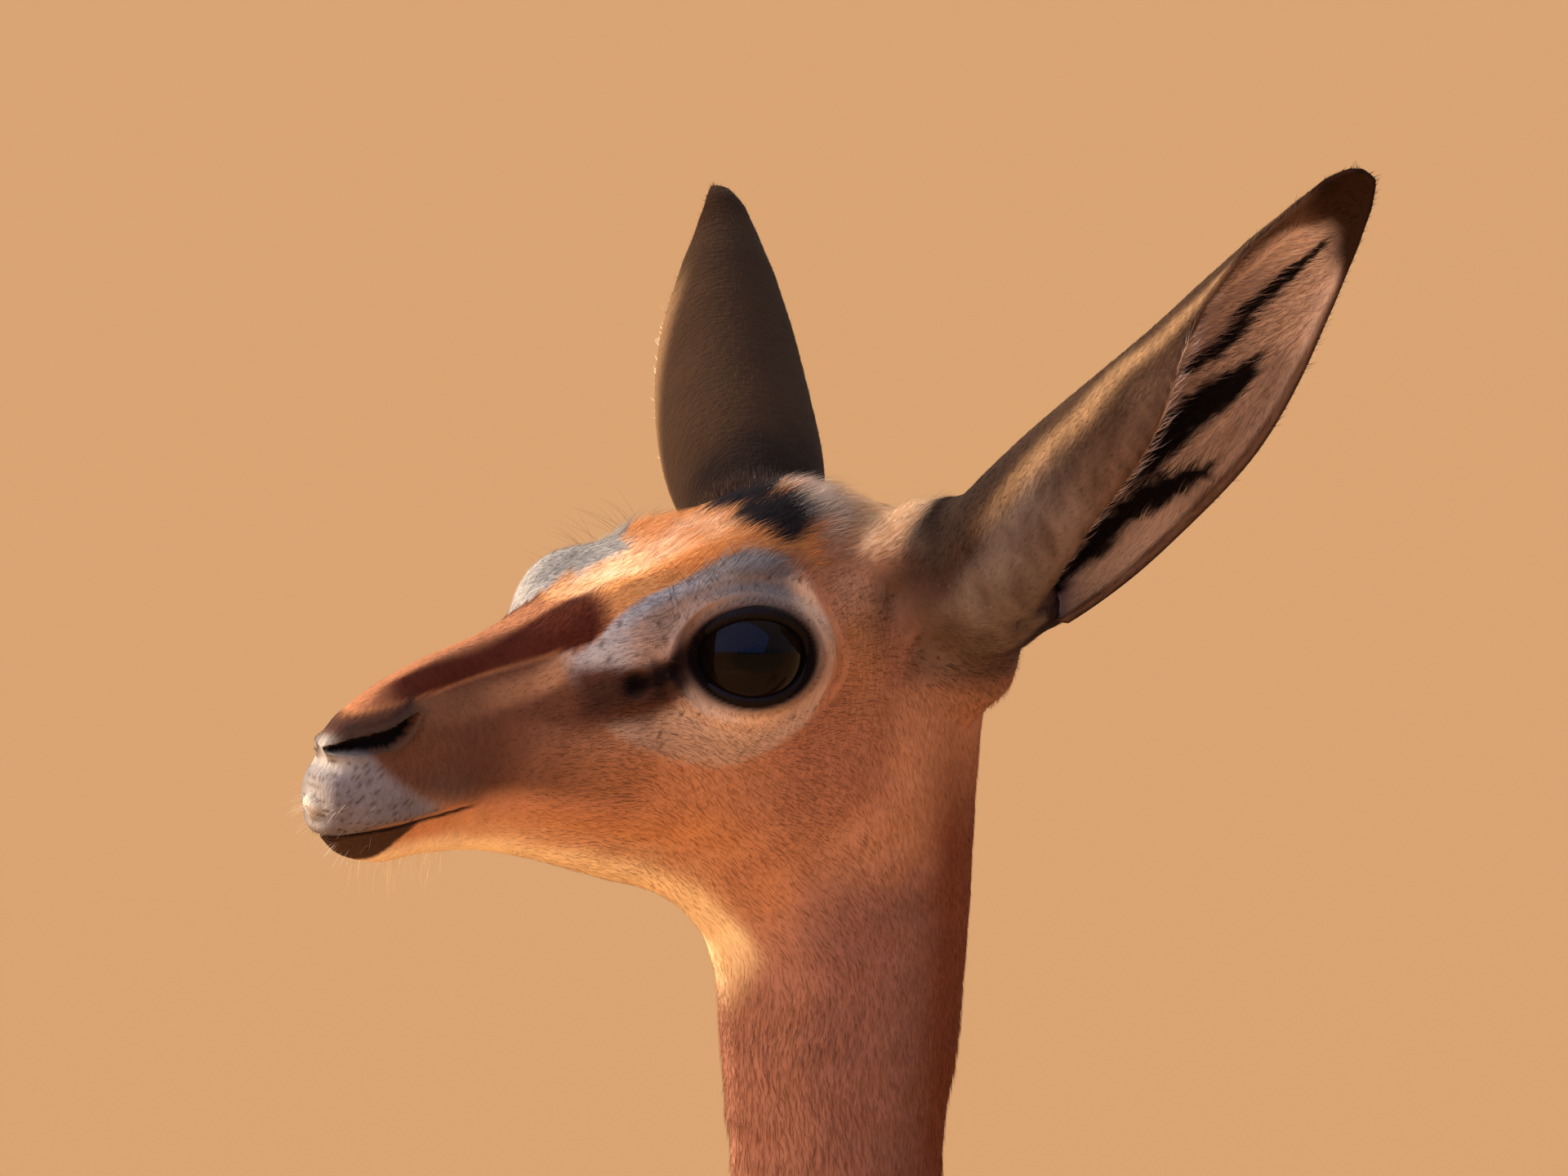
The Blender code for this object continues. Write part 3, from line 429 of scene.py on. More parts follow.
def joined(thing, others):
    """One closed skin of the thing and the others, which are removed."""
    group = bpy.data.collections.new("joined")
    for other in others:
        group.objects.link(other)
    step = thing.modifiers.new("join", "BOOLEAN")
    step.operation, step.operand_type, step.solver = "UNION", "COLLECTION", "EXACT"
    step.collection = group
    applied(thing)
    for other in others:
        bpy.data.objects.remove(other)
    bpy.data.collections.remove(group)
    return thing


# ---------------------------------------------------------------- the head's fine features

# Lie of the mouth: forward and up, from behind the corner to the front of the lips
MOUTH = ((70, -41.0), (80, -43.4), (87, -45.4), (94, -47.2), (103, -49.1), (112, -50.7), (121, -52.4), (132, -55.2))
# Middle line of the nostril: forward, up and half its height there
NOSTRIL = ((100.4, -16.0, 0.0), (102.0, -17.8, 1.3), (104.5, -20.2, 2.3), (109.6, -23.2, 2.7), (116.0, -24.8, 2.3), (122.7, -26.2, 1.6), (129.5, -28.4, 0.7), (131.0, -29.0, 0.0))
GLAND = (42.0, -6.0)
# Middle and half sizes of the flesh about each ear's foot: forward, left and up
ROOT_FILLING = (((-57, 24, 31), (20, 13, 15)), ((-73, 19, 1), (22, 13, 24)), ((-70, -17, 0), (17, 13, 21)))


def bell(x, middle, reach):
    return np.exp(-(((x - middle) / reach) ** 2))


def ramp(x, low, high):
    """Smoothly from 0 at low to 1 at high; low may be the larger."""
    return smooth_step((x - low) / (high - low))


def on_line(x, line):
    """The second value of a line of pairs at x, the first values in either order."""
    pairs = sorted(line)
    return np.interp(x, [p[0] for p in pairs], [p[1] for p in pairs])


def eye_share(head):
    """Places in units of the lid's half length and height: ahead and up, and their length."""
    look, ahead, up = eye_axes()
    away = head * np.array((1.0, 1.0, 1.0))
    away[:, 1] = np.abs(away[:, 1])
    away = away - np.array(EYE_CENTRE)
    a, b = away @ ahead / LID_HALF_LENGTH, away @ up / LID_HALF_HEIGHT
    beside = away @ look > -4
    return a, b, np.where(beside, np.hypot(a, b), 9.0)


def nostril_share(head):
    """How far inside the nostril a place is: 1 within, 0 outside, and the rim about it."""
    f = head[:, 0]
    rise = head[:, 2] - on_line(f, [row[:2] for row in NOSTRIL])
    half = on_line(f, [(row[0], row[2]) for row in NOSTRIL])
    past = np.maximum(np.maximum(NOSTRIL[0][0] - f, f - NOSTRIL[-1][0]), 0)
    gap = np.hypot(np.maximum(np.abs(rise) - half, 0), past)
    deep = ramp(half - np.abs(rise), -0.1, 1.2) * (past < 0.1)
    beside = ramp(np.abs(head[:, 1]), 1.5, 3.5)
    return deep * beside, np.exp(-((gap / 2.4) ** 2)) * beside


def mouth_gap(head):
    """Height above the line of the mouth, and how much of the mouth there is at a place."""
    rise = head[:, 2] - on_line(head[:, 0], MOUTH)
    return rise, ramp(head[:, 0], 80, 86)


def with_features(head):
    """Nostrils, lips, gland, folds round the eyes and slack skin, on points of the head."""
    side = np.sign(head[:, 1]) * smooth_step(np.abs(head[:, 1]) / 10)
    out = np.column_stack(
        (np.clip((head[:, 0] - 112) / 14, 0, 1.2), side, np.zeros(len(head)))
    )
    out = out / np.maximum(np.linalg.norm(out, axis=1), 0.3)[:, None]
    push = np.zeros(len(head))
    deep, rim = nostril_share(head)
    push += 0.7 * rim * (1 - deep)
    wing = head[:, 2] - on_line(head[:, 0], [row[:2] for row in NOSTRIL])
    push += 1.2 * bell(wing, 6.5, 2.0) * bell(head[:, 0], 112, 10)
    rise, mouth = mouth_gap(head)
    push -= mouth * 1.7 * bell(rise, 0, 0.6)
    push -= mouth * 1.3 * ramp(rise, 0.4, -0.6) * ramp(rise, -11, -3)
    push += mouth * 0.9 * bell(rise, 3.2, 2.6)
    gland = np.hypot(head[:, 0] - GLAND[0], head[:, 2] - GLAND[1])
    push += 0.8 * bell(gland, 5.5, 2.5) - 2.2 * bell(gland, 0, 2.6)
    a, b, reach = eye_share(head)
    push -= 3.2 * ramp(reach, 1.03, 0.93)
    over = ramp(b, -0.1, 0.5)
    push -= over * (1.0 * bell(reach, 1.38, 0.07) + 0.45 * bell(reach, 1.72, 0.07))
    push += over * 0.7 * bell(reach, 1.54, 0.10)
    push -= (1 - over) * (0.5 * bell(reach, 1.46, 0.07) + 0.3 * bell(reach, 1.85, 0.09))
    tear = np.hypot((head[:, 0] - 31) / 6, (head[:, 2] + 1.5 - (head[:, 0] - 31) * 0.3) / 1.3)
    push -= 1.2 * np.exp(-(tear**2))
    waves = np.sin(head[:, 0] * 0.19 + 2 * np.sin(head[:, 2] * 0.11)) * np.sin(
        head[:, 2] * 0.23 + head[:, 0] * 0.07
    )
    push += 0.22 * waves * ramp(head[:, 0], 110, 80)
    push += 1.2 * bell(head[:, 0], 22, 22) * bell(head[:, 2], 31, 7)
    brow = bell(head[:, 0], 46, 17) * bell(np.abs(head[:, 1]), 21, 8) * ramp(head[:, 2], -2, 8)
    head = head + out * (push + 1.2 * brow)[:, None]
    head[:, 2] += brow * np.where(head[:, 1] < 0, 4.6, 1.8)
    head[:, 1] -= side * 5.5 * deep
    head[:, 2] += 1.6 * bell(head[:, 0], 26, 22) * bell(np.abs(head[:, 1]), 30, 12) * ramp(head[:, 2], 12, 24)
    return head


# ---------------------------------------------------------------- the skin

STATIONS = np.concatenate(
    [
        np.sin(np.linspace(-math.pi / 2, 0, 9)[:-1]),
        np.linspace(0, 5, 41)[:-1],
        np.linspace(5, 9, 53)[:-1],
        np.linspace(9, 13, 45)[:-1],
        np.linspace(13, 15, 17)[:-1],
        np.linspace(15, 19, 54)[:-1],
        np.linspace(19, NECK_ROOT - 0.12, 46),
    ]
)


def head_and_neck():
    """Head and neck as one tube, closed at the lips and open at the root of the neck."""
    bm, around, share = sheet(150, len(STATIONS) - 1)
    t = np.interp(share, np.linspace(0, 1, len(STATIONS)), STATIONS)
    points = body_points(np.maximum(t, 0), around * 2 * math.pi)
    ahead = np.minimum(t, 0)
    middle = np.array((HEAD_X - 129 * MM, 0, EYE_HEIGHT - 44.5 * MM))
    points = np.where((t < 0)[:, None], middle + (points - middle) * (1 + ahead)[:, None], points)
    points[:, 0] -= 2.2 * MM * np.sqrt(np.clip(1 - (1 + ahead) ** 2, 0, 1))
    place(bm, points)
    bmesh.ops.remove_doubles(bm, verts=bm.verts, dist=1e-6)
    head = to_head(coordinates(bm))
    fine = eye_share(head)[2] < 2.0
    deep, rim = nostril_share(head)
    rise, mouth = mouth_gap(head)
    fine |= (rim > 0.15) | (deep > 0) | ((np.abs(rise) < 3.5) & (head[:, 0] > 79))
    bm.verts.index_update()
    edges = [e for e in bm.edges if fine[e.verts[0].index] and fine[e.verts[1].index]]
    bmesh.ops.subdivide_edges(bm, edges=edges, cuts=1, use_grid_fill=True)
    bmesh.ops.triangulate(bm, faces=[f for f in bm.faces if len(f.verts) > 4])
    head = with_features(seated_on_eyes(to_head(coordinates(bm))))
    place(bm, posed(from_head(head)))
    return bm


def leg_table(name):
    return FORELEG if name.startswith("fore") else HINDLEG


def row_at_height(name, height):
    heights = [row[1] for row in leg_table(name)][::-1]
    return float(np.interp(height, heights, list(range(len(heights)))[::-1]))


def leg_points(name, t, angle):
    """Points of one leg at section numbers t; the foot is stepped forward or back."""
    side = -1 if name.endswith("left") else 1
    x, z, deep, wide, away = along(leg_table(name), t).T
    x = x - STEP[name] * np.clip((FORE_TOP - z) / FORE_TOP, 0, 1)
    return np.column_stack((x - deep * np.cos(angle), side * (away + wide * np.sin(angle)), z))


def leg_tube(name, first, last, columns, rows):
    bm, around, share = sheet(columns, rows)
    place(bm, leg_points(name, first + (last - first) * share, around * 2 * math.pi))
    bmesh.ops.remove_doubles(bm, verts=bm.verts, dist=1e-6)
    return bm


def capped(bm):
    bmesh.ops.holes_fill(bm, edges=[e for e in bm.edges if e.is_boundary])
    return facing_out(bm)


def trunk_with_legs():
    """Trunk and upper legs grown together and evened out, open at neck and knees."""
    bm, around, share = sheet(72, 120)
    t = NECK_ROOT - 1.5 + (RUMP - NECK_ROOT + 1.5) * share
    place(bm, body_points(t, around * 2 * math.pi))
    bmesh.ops.remove_doubles(bm, verts=bm.verts, dist=1e-6)
    trunk = piece("trunk", capped(bm))
    legs = []
    for name in STEP:
        lowest = 0.30 if name.startswith("fore") else 0.34
        bm = leg_tube(name, 0, row_at_height(name, lowest), 32, 60)
        legs.append(piece(name, capped(bm)))
    joined(trunk, legs)
    remesh = trunk.modifiers.new("grown together", "REMESH")
    remesh.mode, remesh.voxel_size = "VOXEL", 0.0072
    even = trunk.modifiers.new("even", "SMOOTH")
    even.factor, even.iterations = 0.5, 9
    applied(trunk)
    bm = bmesh.new()
    bm.from_mesh(trunk.data)
    bpy.data.objects.remove(trunk)
    top_x, top_z, bottom_x, bottom_z = body_table()[NECK_ROOT][:4]
    cuts = [
        (Vector((top_x, 0, top_z)), Vector((bottom_z - top_z, 0, top_x - bottom_x))),
    ]
    for point, normal in cuts:
        cut(bm, point, normal, bm.verts)
    for height, ahead in ((FORE_KNEE, True), (HIND_HOCK, False)):
        part = [v for v in bm.verts if (v.co.x < 0.05) == ahead and v.co.z < 0.6]
        cut(bm, Vector((0, 0, height)), Vector((0, 0, -1)), part)
    return bm


def cut(bm, point, normal, verts):
    """Takes away what lies in front of a plane, among the faces of the vertices."""
    verts = list(verts)
    member = set(verts)
    faces = [f for f in bm.faces if all(v in member for v in f.verts)]
    edges = dict.fromkeys(e for f in faces for e in f.edges)
    geom = verts + list(edges) + faces
    bmesh.ops.bisect_plane(bm, geom=geom, plane_co=point, plane_no=normal, clear_outer=True)


def boundary_loops(bm):
    """The open edges, as one list for each loop."""
    left = dict.fromkeys(e for e in bm.edges if e.is_boundary)
    loops = []
    while left:
        loop, edge = [], [next(iter(left))]
        del left[edge[0]]
        while edge:
            here = edge.pop()
            loop.append(here)
            near = dict.fromkeys(e for v in here.verts for e in v.link_edges if e in left)
            for e in near:
                del left[e]
            edge.extend(near)
        loops.append(loop)
    return loops


def middle_of(loop):
    total = sum((e.verts[0].co + e.verts[1].co for e in loop), Vector())
    return total / (2 * len(loop))


def body_without_ears():
    """Head, neck, trunk and legs in one mesh, bridged where they meet and smoothed there."""
    bm = head_and_neck()
    parts = [trunk_with_legs()]
    for name in STEP:
        knee = FORE_KNEE if name.startswith("fore") else HIND_HOCK
        last = len(leg_table(name)) - 1
        leg = leg_tube(name, row_at_height(name, knee - 0.006), last, 26, 76)
        low = [e for e in leg.edges if e.is_boundary and e.verts[0].co.z < 0.1]
        bmesh.ops.holes_fill(leg, edges=low)
        parts.append(leg)
    for part in parts:
        mesh = bpy.data.meshes.new("part")
        part.to_mesh(mesh)
        part.free()
        bm.from_mesh(mesh)
        bpy.data.meshes.remove(mesh)
    loops = boundary_loops(bm)
    loops = [loop for loop in loops if len(loop) > 8]
    middles = [middle_of(loop) for loop in loops]
    seams, done = [], set()
    for i, place_i in enumerate(middles):
        if i in done:
            continue
        others = [j for j in range(len(loops)) if j != i and j not in done]
        j = min(others, key=lambda k: (middles[k] - place_i).length)
        done |= {i, j}
        bmesh.ops.bridge_loops(bm, edges=loops[i] + loops[j])
        seams.append((place_i + middles[j]) / 2)
    facing_out(bm)
    for reach, times in ((0.024, 4), (0.014, 6)):
        near = []
        for seam in seams:
            wide = 0.10 if seam.z > 0.8 else 0.04
            for v in bm.verts:
                if abs(v.co.z - seam.z) < reach + (0.06 if seam.z > 0.8 else 0) and (
                    (v.co - seam).length < wide
                ):
                    near.append(v)
        for _ in range(times):
            bmesh.ops.smooth_vert(
                bm, verts=near, factor=0.5, use_axis_x=True, use_axis_y=True, use_axis_z=True
            )
    return piece("skin", bm)


class EarFrame:
    """Root, directions and sizes of one ear."""

    def __init__(self, name):
        where, length_way, opening, self.hand, self.wide, self.bowed, self.heel = EARS[name]
        self.root = np.array(head_place(*where))
        axis, face = Vector(length_way).normalized(), Vector(opening)
        face = (face - axis * face.dot(axis)).normalized()
        self.axis, self.face = np.array(axis), np.array(face)
        self.across = np.array(axis.cross(face))
        near = name == "ear_left"
        self.drawn, self.pulled, self.cut = (26.0, 4.5 * MM, 0.15) if near else (0.0, 0.0, 0.0)
        ahead = np.array((-1.0, 0.0, 0.0))
        ahead = ahead - self.axis * (ahead @ self.axis)
        self.ahead = ahead / np.linalg.norm(ahead)

    def pull(self, v):
        """Shift of the lower half of the near ear towards the brow."""
        return np.outer(self.pulled * (1 - smooth_step(v / 0.62)), self.ahead)

    def cut_back(self, v):
        """Share of its width the rolled front wall keeps."""
        return 1 - self.cut * bell(v, 0.74, 0.17) - 0.5 * self.cut * bell(v, 0.25, 0.16)

    def way_along(self, v):
        """Distance along the axis; the near ear's foot is drawn out towards the head."""
        return (v * EAR_LENGTH - self.drawn * (1 - smooth_step(v / 0.5))) * MM

    def rows(self, v):
        table = np.array(EAR_SECTIONS)
        row = along(table, np.interp(v, table[:, 0], np.arange(len(table))))
        radius = row[:, 1] * MM * self.wide * (1 - 0.6 * (1 - smooth_step(v / 0.13)))
        return radius, np.radians(row[:, 2]), np.radians(row[:, 3]) * self.hand

    def points(self, u, v):
        radius, wall, turn = self.rows(v)
        angle = wall * np.where(u < 0, u * self.cut_back(v), u) + turn
        bow = self.bowed * np.sin(v * math.pi)
        side, depth = radius * np.sin(angle), -radius * np.cos(angle)
        return (
            self.root
            + np.outer(self.way_along(v), self.axis)
            + self.pull(v)
            + np.outer(side, self.across)
            + np.outer(depth + bow, self.face)
        )

    def shares(self, points, normals):
        """Place across (-1 to 1) and along (0 to 1), distance from the wall, and whether inside."""
        away = points - np.array(SHIFT) - self.root
        steps = np.linspace(-0.3, 1.3, 321)
        v = np.interp(away @ self.axis, self.way_along(steps), steps)
        inside = np.clip(v, 0, 1)
        away = away - self.pull(inside)
        radius, wall, turn = self.rows(inside)
        side = away @ self.across
        depth = away @ self.face - self.bowed * np.sin(inside * math.pi)
        reach = np.maximum(np.hypot(side, depth), 1e-5)
        angle = (np.arctan2(side, -depth) - turn + math.pi) % (2 * math.pi) - math.pi
        radial = np.outer(side / reach, self.across) + np.outer(depth / reach, self.face)
        inner = (normals * radial).sum(1) < 0
        u = angle / wall
        u = np.where(u < 0, u / self.cut_back(inside), u)
        return u, v, np.abs(reach - radius), inner


def ear_shell(name):
    """The cup of one ear with its thickness, on a rounded root."""
    ear = EarFrame(name)
    bm, across, share = sheet(46, 76)
    place(bm, ear.points(across * 2 - 1, share))
    cup = piece(name, bm)
    shell = cup.modifiers.new("thickness", "SOLIDIFY")
    shell.thickness, shell.offset, shell.use_even_offset = 0.0017, 0.0, False
    applied(cup)
    bm = bmesh.new()
    bm.from_mesh(cup.data)
    facing_out(bm)
    bm.to_mesh(cup.data)
    bm.free()
    bulb = bmesh.new()
    bmesh.ops.create_uvsphere(bulb, u_segments=36, v_segments=24, radius=1)
    heel = ear.heel
    for vertex in bulb.verts:
        c = vertex.co.copy()
        vertex.co = Vector(
            ear.root
            + ear.axis * ((c.z * 20 - 1) * MM)
            + ear.across * (c.x * heel * MM)
            + ear.face * ((c.y * heel + heel - 17) * MM)
        )
    return joined(cup, [piece("bulb", facing_out(bulb))])


def root_filling():
    """Rounded flesh before and behind the foot of each ear."""
    made = []
    for number, (middle, sizes) in enumerate(ROOT_FILLING):
        bm = bmesh.new()
        bmesh.ops.create_uvsphere(bm, u_segments=32, v_segments=20, radius=1)
        place(bm, posed(from_head(coordinates(bm) * np.array(sizes) + np.array(middle))))
        made.append(piece("filling_%d" % number, facing_out(bm)))
    return made


def tail_stem():
    """The thin tail, from inside the rump to where its tuft hides it."""
    bm, around, share = sheet(20, 60)
    row = along(TAIL, share * (len(TAIL) - 1))
    step = along(TAIL, np.minimum(share + 0.02, 1) * (len(TAIL) - 1)) - along(
        TAIL, np.maximum(share - 0.02, 0) * (len(TAIL) - 1)
    )
    way = step[:, :2] / np.linalg.norm(step[:, :2], axis=1)[:, None]
    angle, radius = around * 2 * math.pi, row[:, 2] * (1 - 0.5 * share**6)
    place(
        bm,
        np.column_stack(
            (
                row[:, 0] - way[:, 1] * radius * np.cos(angle),
                radius * np.sin(angle),
                row[:, 1] + way[:, 0] * radius * np.cos(angle),
            )
        ),
    )
    bmesh.ops.remove_doubles(bm, verts=bm.verts, dist=1e-6)
    return piece("tail_stem", capped(bm))


def smooth_joins(thing, before):
    """Softens the skin along the new edges that joining has made."""
    bm = bmesh.new()
    bm.from_mesh(thing.data)
    old = KDTree(len(before))
    for k, co in enumerate(before):
        old.insert(co, k)
    old.balance()
    new = [v for v in bm.verts if old.find(v.co)[2] > 2e-5]
    join = KDTree(len(new))
    for k, v in enumerate(new):
        join.insert(v.co, k)
    join.balance()
    away = {v: join.find(v.co)[2] for v in bm.verts if v.co.z > 0.70}
    for reach, times in ((0.016, 5), (0.011, 6), (0.006, 8)):
        near = [v for v, gap in away.items() if gap < reach]
        for _ in range(times):
            bmesh.ops.smooth_vert(
                bm, verts=near, factor=0.5, use_axis_x=True, use_axis_y=True, use_axis_z=True
            )
    for name, widest in (("ear_left", 0.046), ("ear_right", 0.027)):
        ear = EarFrame(name)
        gaps = {}
        for v in bm.verts:
            away = np.array(v.co) - ear.root
            if away @ ear.axis < (0.008 if name == "ear_left" else 0.016):
                gaps[v] = float(np.linalg.norm(away))
        for share, times in ((1.0, 6), (0.85, 10), (0.7, 14), (0.55, 8)):
            near = [v for v, gap in gaps.items() if gap < widest * share]
            for _ in range(times):
                bmesh.ops.smooth_vert(
                    bm, verts=near, factor=0.5, use_axis_x=True, use_axis_y=True, use_axis_z=True
                )
    bm.to_mesh(thing.data)
    bm.free()


def vertex_arrays(mesh):
    """Places and normals of a mesh's vertices."""
    count = len(mesh.vertices)
    co, normal = np.empty(count * 3, np.float32), np.empty(count * 3, np.float32)
    mesh.vertices.foreach_get("co", co)
    mesh.vertex_normals.foreach_get("vector", normal)
    return co.reshape(-1, 3).astype(float), normal.reshape(-1, 3).astype(float)


def whole_skin():
    """The one skin of the animal, lying under its coat."""
    skin = body_without_ears()
    others = [ear_shell(name) for name in EARS] + root_filling() + [tail_stem()]
    before = [v.co.copy() for thing in [skin, *others] for v in thing.data.vertices]
    joined(skin, others)
    smooth_joins(skin, before)
    skin.data.transform(Matrix.Translation(SHIFT))
    co, normal = vertex_arrays(skin.data)
    straight = straightened(co)
    head = to_head(straight)
    depth = coat_depth(straight, head, ear_mask(co, normal)[0])
    co = co - normal * depth[:, None]
    skin.data.vertices.foreach_set("co", co.astype(np.float32).ravel())
    skin.data.update()
    skin.data.shade_smooth()
    return skin

# ---------------------------------------------------------------- markings

FAWN = (0.430, 0.198, 0.108)
PALE_FAWN = (0.480, 0.235, 0.130)
SADDLE = (0.230, 0.078, 0.036)
CHEEK_BACK = (0.355, 0.150, 0.088)
JAW_REAR = (0.440, 0.202, 0.110)
THROAT_FAWN = (0.530, 0.238, 0.106)
NECK_FRONT_SKY_TINT = (0.330, 0.152, 0.104)
NECK_SIDE_SHADED = (0.230, 0.104, 0.078)
NECK_BACK = (0.200, 0.057, 0.024)
CREAM = (0.800, 0.590, 0.350)
WHITE = (0.740, 0.680, 0.610)
BELLY = (0.560, 0.460, 0.370)
GLINT_GOLD = (0.840, 0.670, 0.540)
RUFOUS = (0.600, 0.260, 0.095)
NOSE_SIDE_CHESTNUT_SHADE = (0.052, 0.012, 0.006)
RIDGE = (0.300, 0.120, 0.060)
STRIPE_TAN = (0.200, 0.092, 0.052)
STRIPE_PALE = (0.380, 0.200, 0.115)
CHEEK_FRONT = (0.072, 0.027, 0.016)
NOSE_TAN = (0.110, 0.043, 0.021)
LIP_BROWN = (0.078, 0.047, 0.038)
BROW_WHITE = (0.330, 0.322, 0.370)
SUNLIT_FAR_BROW = (0.370, 0.335, 0.315)
BROW_PINK = (0.320, 0.215, 0.180)
BROW_SHADE_GREY = (0.190, 0.160, 0.168)
RING_LOW = (0.480, 0.325, 0.255)
RING_BACK_LIT = (0.660, 0.440, 0.325)
GLAND_DARK = (0.003, 0.0015, 0.0015)
GLAND_BROWN = (0.036, 0.017, 0.012)
LIP_GREY = (0.150, 0.132, 0.150)
LIP_DARK = (0.055, 0.028, 0.016)
HOLLOW_SHADE_BLACK = (0.004, 0.003, 0.003)
NOSTRIL_WING_SHADE = (0.038, 0.020, 0.018)
CROWN_BLACK = (0.018, 0.015, 0.018)
CROWN_WHITE = (0.620, 0.540, 0.490)
POLL_RIM_LIT_TAN = (0.680, 0.470, 0.310)
TEMPLE = (0.395, 0.208, 0.135)
TEMPLE_GREY = (0.110, 0.068, 0.047)
EAR_ROOT = (0.088, 0.050, 0.038)
EAR_GREY = (0.185, 0.138, 0.115)
EAR_BACK_SHADED = (0.036, 0.018, 0.010)
EAR_LIT_GOLD = (0.290, 0.165, 0.085)
EAR_BAND = (0.010, 0.006, 0.005)
EAR_BROWN = (0.130, 0.070, 0.044)
EAR_EDGE = (0.050, 0.026, 0.016)
EAR_WHITE = (0.590, 0.435, 0.370)
EAR_STRIPE = (0.009, 0.006, 0.005)
EAR_RIM = (0.075, 0.030, 0.014)
EAR_TIP = (0.026, 0.011, 0.005)
SHANK = (0.400, 0.220, 0.125)
KNEE_DARK = (0.075, 0.040, 0.028)
TAIL_BLACK = (0.012, 0.008, 0.007)

# Lower edge of the nose band, then of the forehead over the eye, back to the temple
NOSE_BAND_EDGE = ((134, -24), (120, -17), (110, -14.5), (100, -12.5), (88, -9.2), (73, -3.5), (61, 1.5), (54, 5.5), (49, 11), (42, 16.6), (33, 21.2), (22, 25.2), (10, 30), (-2, 31.6), (-13, 30), (-19, 24))
CREAM_EDGE = ((118, -58.5), (101, -56), (87, -52.5), (66, -55.5), (46, -59), (25, -63.5), (8, -71), (-5, -84), (-20, -100))
PALE_STRIPE = ((54, 0.5), (60, -3.5), (64, -6.5), (70.5, -9.8), (79, -12.5), (88.5, -15.0), (98, -15.5))
# Rear edge of the grey upper lip
LIP_EDGE = ((132, -22), (121, -25), (116, -29), (113, -33), (105, -38), (96, -43.5), (90, -46.5))
# Black streaks inside the ear: their line along and across it, and half their width
EAR_STREAKS = (
    (((0.49, 0.31), (0.57, 0.35), (0.65, 0.32), (0.74, 0.35), (0.84, 0.48)), 0.085),
    (((0.27, 0.55), (0.33, 0.55), (0.40, 0.53), (0.45, 0.53), (0.51, 0.58), (0.60, 0.61)), 0.110),
    (((0.08, 0.72), (0.17, 0.70), (0.23, 0.67), (0.29, 0.66), (0.35, 0.74), (0.41, 0.84)), 0.080),
)


def off_line(places, line, stretch=(1, 1)):
    """Distance of each place from a line of points, and the share along it of the nearest."""
    places = places * np.array(stretch)
    line = np.array(line) * np.array(stretch)
    best, where = np.full(len(places), 1e9), np.zeros(len(places))
    for k in range(len(line) - 1):
        way = line[k + 1] - line[k]
        s = np.clip(((places - line[k]) @ way) / (way @ way), 0, 1)
        gap = np.linalg.norm(places - line[k] - s[:, None] * way, axis=1)
        near = gap < best
        best, where = np.where(near, gap, best), np.where(near, (k + s) / (len(line) - 1), where)
    return best, where


def mixed(colour, other, share):
    return colour + (np.array(other) - colour) * np.clip(share, 0, 1)[:, None]


def mottle(points, size, salt=0.0):
    """A soft irregular value from -1 to 1 that changes over about that many units."""
    q = points / size
    total = np.zeros(len(q))
    for k, (a, b, c) in enumerate(((1.0, 0.3, -0.2), (-0.4, 1.1, 0.3), (0.2, -0.5, 1.2), (0.8, 0.7, 0.6))):
        total += np.sin(q @ np.array((a, b, c)) * (1.7 + 0.6 * k) + salt + 1.9 * k + np.sin(q @ np.array((c, a, b)) * 1.3))
    return total / 3


def dots(places, spacing, radius):
    """Share of a small dark dot at each place of a flat field of scattered dots."""
    best = np.full(len(places), 9.0)
    cell = np.floor(places / spacing)
    for i in (-1, 0, 1):
        for j in (-1, 0, 1):
            c = cell + np.array((i, j))
            chance = np.abs(np.sin(c[:, 0] * 12.9898 + c[:, 1] * 78.233) * 43758.5453) % 1
            other = np.abs(np.sin(c[:, 0] * 39.346 + c[:, 1] * 11.135) * 24634.6345) % 1
            middle = (c + 0.5 + 0.55 * (np.column_stack((chance, other)) - 0.5)) * spacing
            best = np.minimum(best, np.linalg.norm(places - middle, axis=1) / radius)
    return ramp(best, 1.15, 0.8)


def neck_and_cheek(f, l, h, wander):
    """The plain ground of the head and neck, before the marks of the face, with painted light behind the eye and
    painted shade towards the neck's back.
    """
    colour = np.tile(np.array(FAWN), (len(f), 1))
    colour = mixed(colour, THROAT_FAWN, ramp(h, -42, -56) * ramp(f, -12, 20))
    colour = mixed(colour, CHEEK_BACK, ramp(f, 10, -14) * ramp(h, -64, -34))
    colour = mixed(colour, JAW_REAR, ramp(f, -40, -50) * ramp(h, -4, -14))
    # Painted light: a pale patch behind the eye lifts the shade there.
    colour = mixed(colour, THROAT_FAWN, 0.9 * bell(f, -32, 10) * bell(h, 4, 17))
    neck = ramp(h, -52, -80)
    # Towards its back the neck darkens and turns bluer: partly its own darker fur, partly painted shade and a painted
    # sky reflection.
    side = mixed(np.tile(np.array(NECK_FRONT_SKY_TINT), (len(f), 1)), NECK_SIDE_SHADED, ramp(f + 2 * wander, -14, -34))
    colour = colour + (side - colour) * neck[:, None]
    colour = mixed(colour, THROAT_FAWN, 0.7 * neck * ramp(h, -100, -70) * ramp(f, -24, -10))
    back = ramp(f + 1.5 * wander - 0.02 * (h + 60), -54, -70) * ramp(h, -24, -62)
    return mixed(colour, NECK_BACK, 0.92 * back)


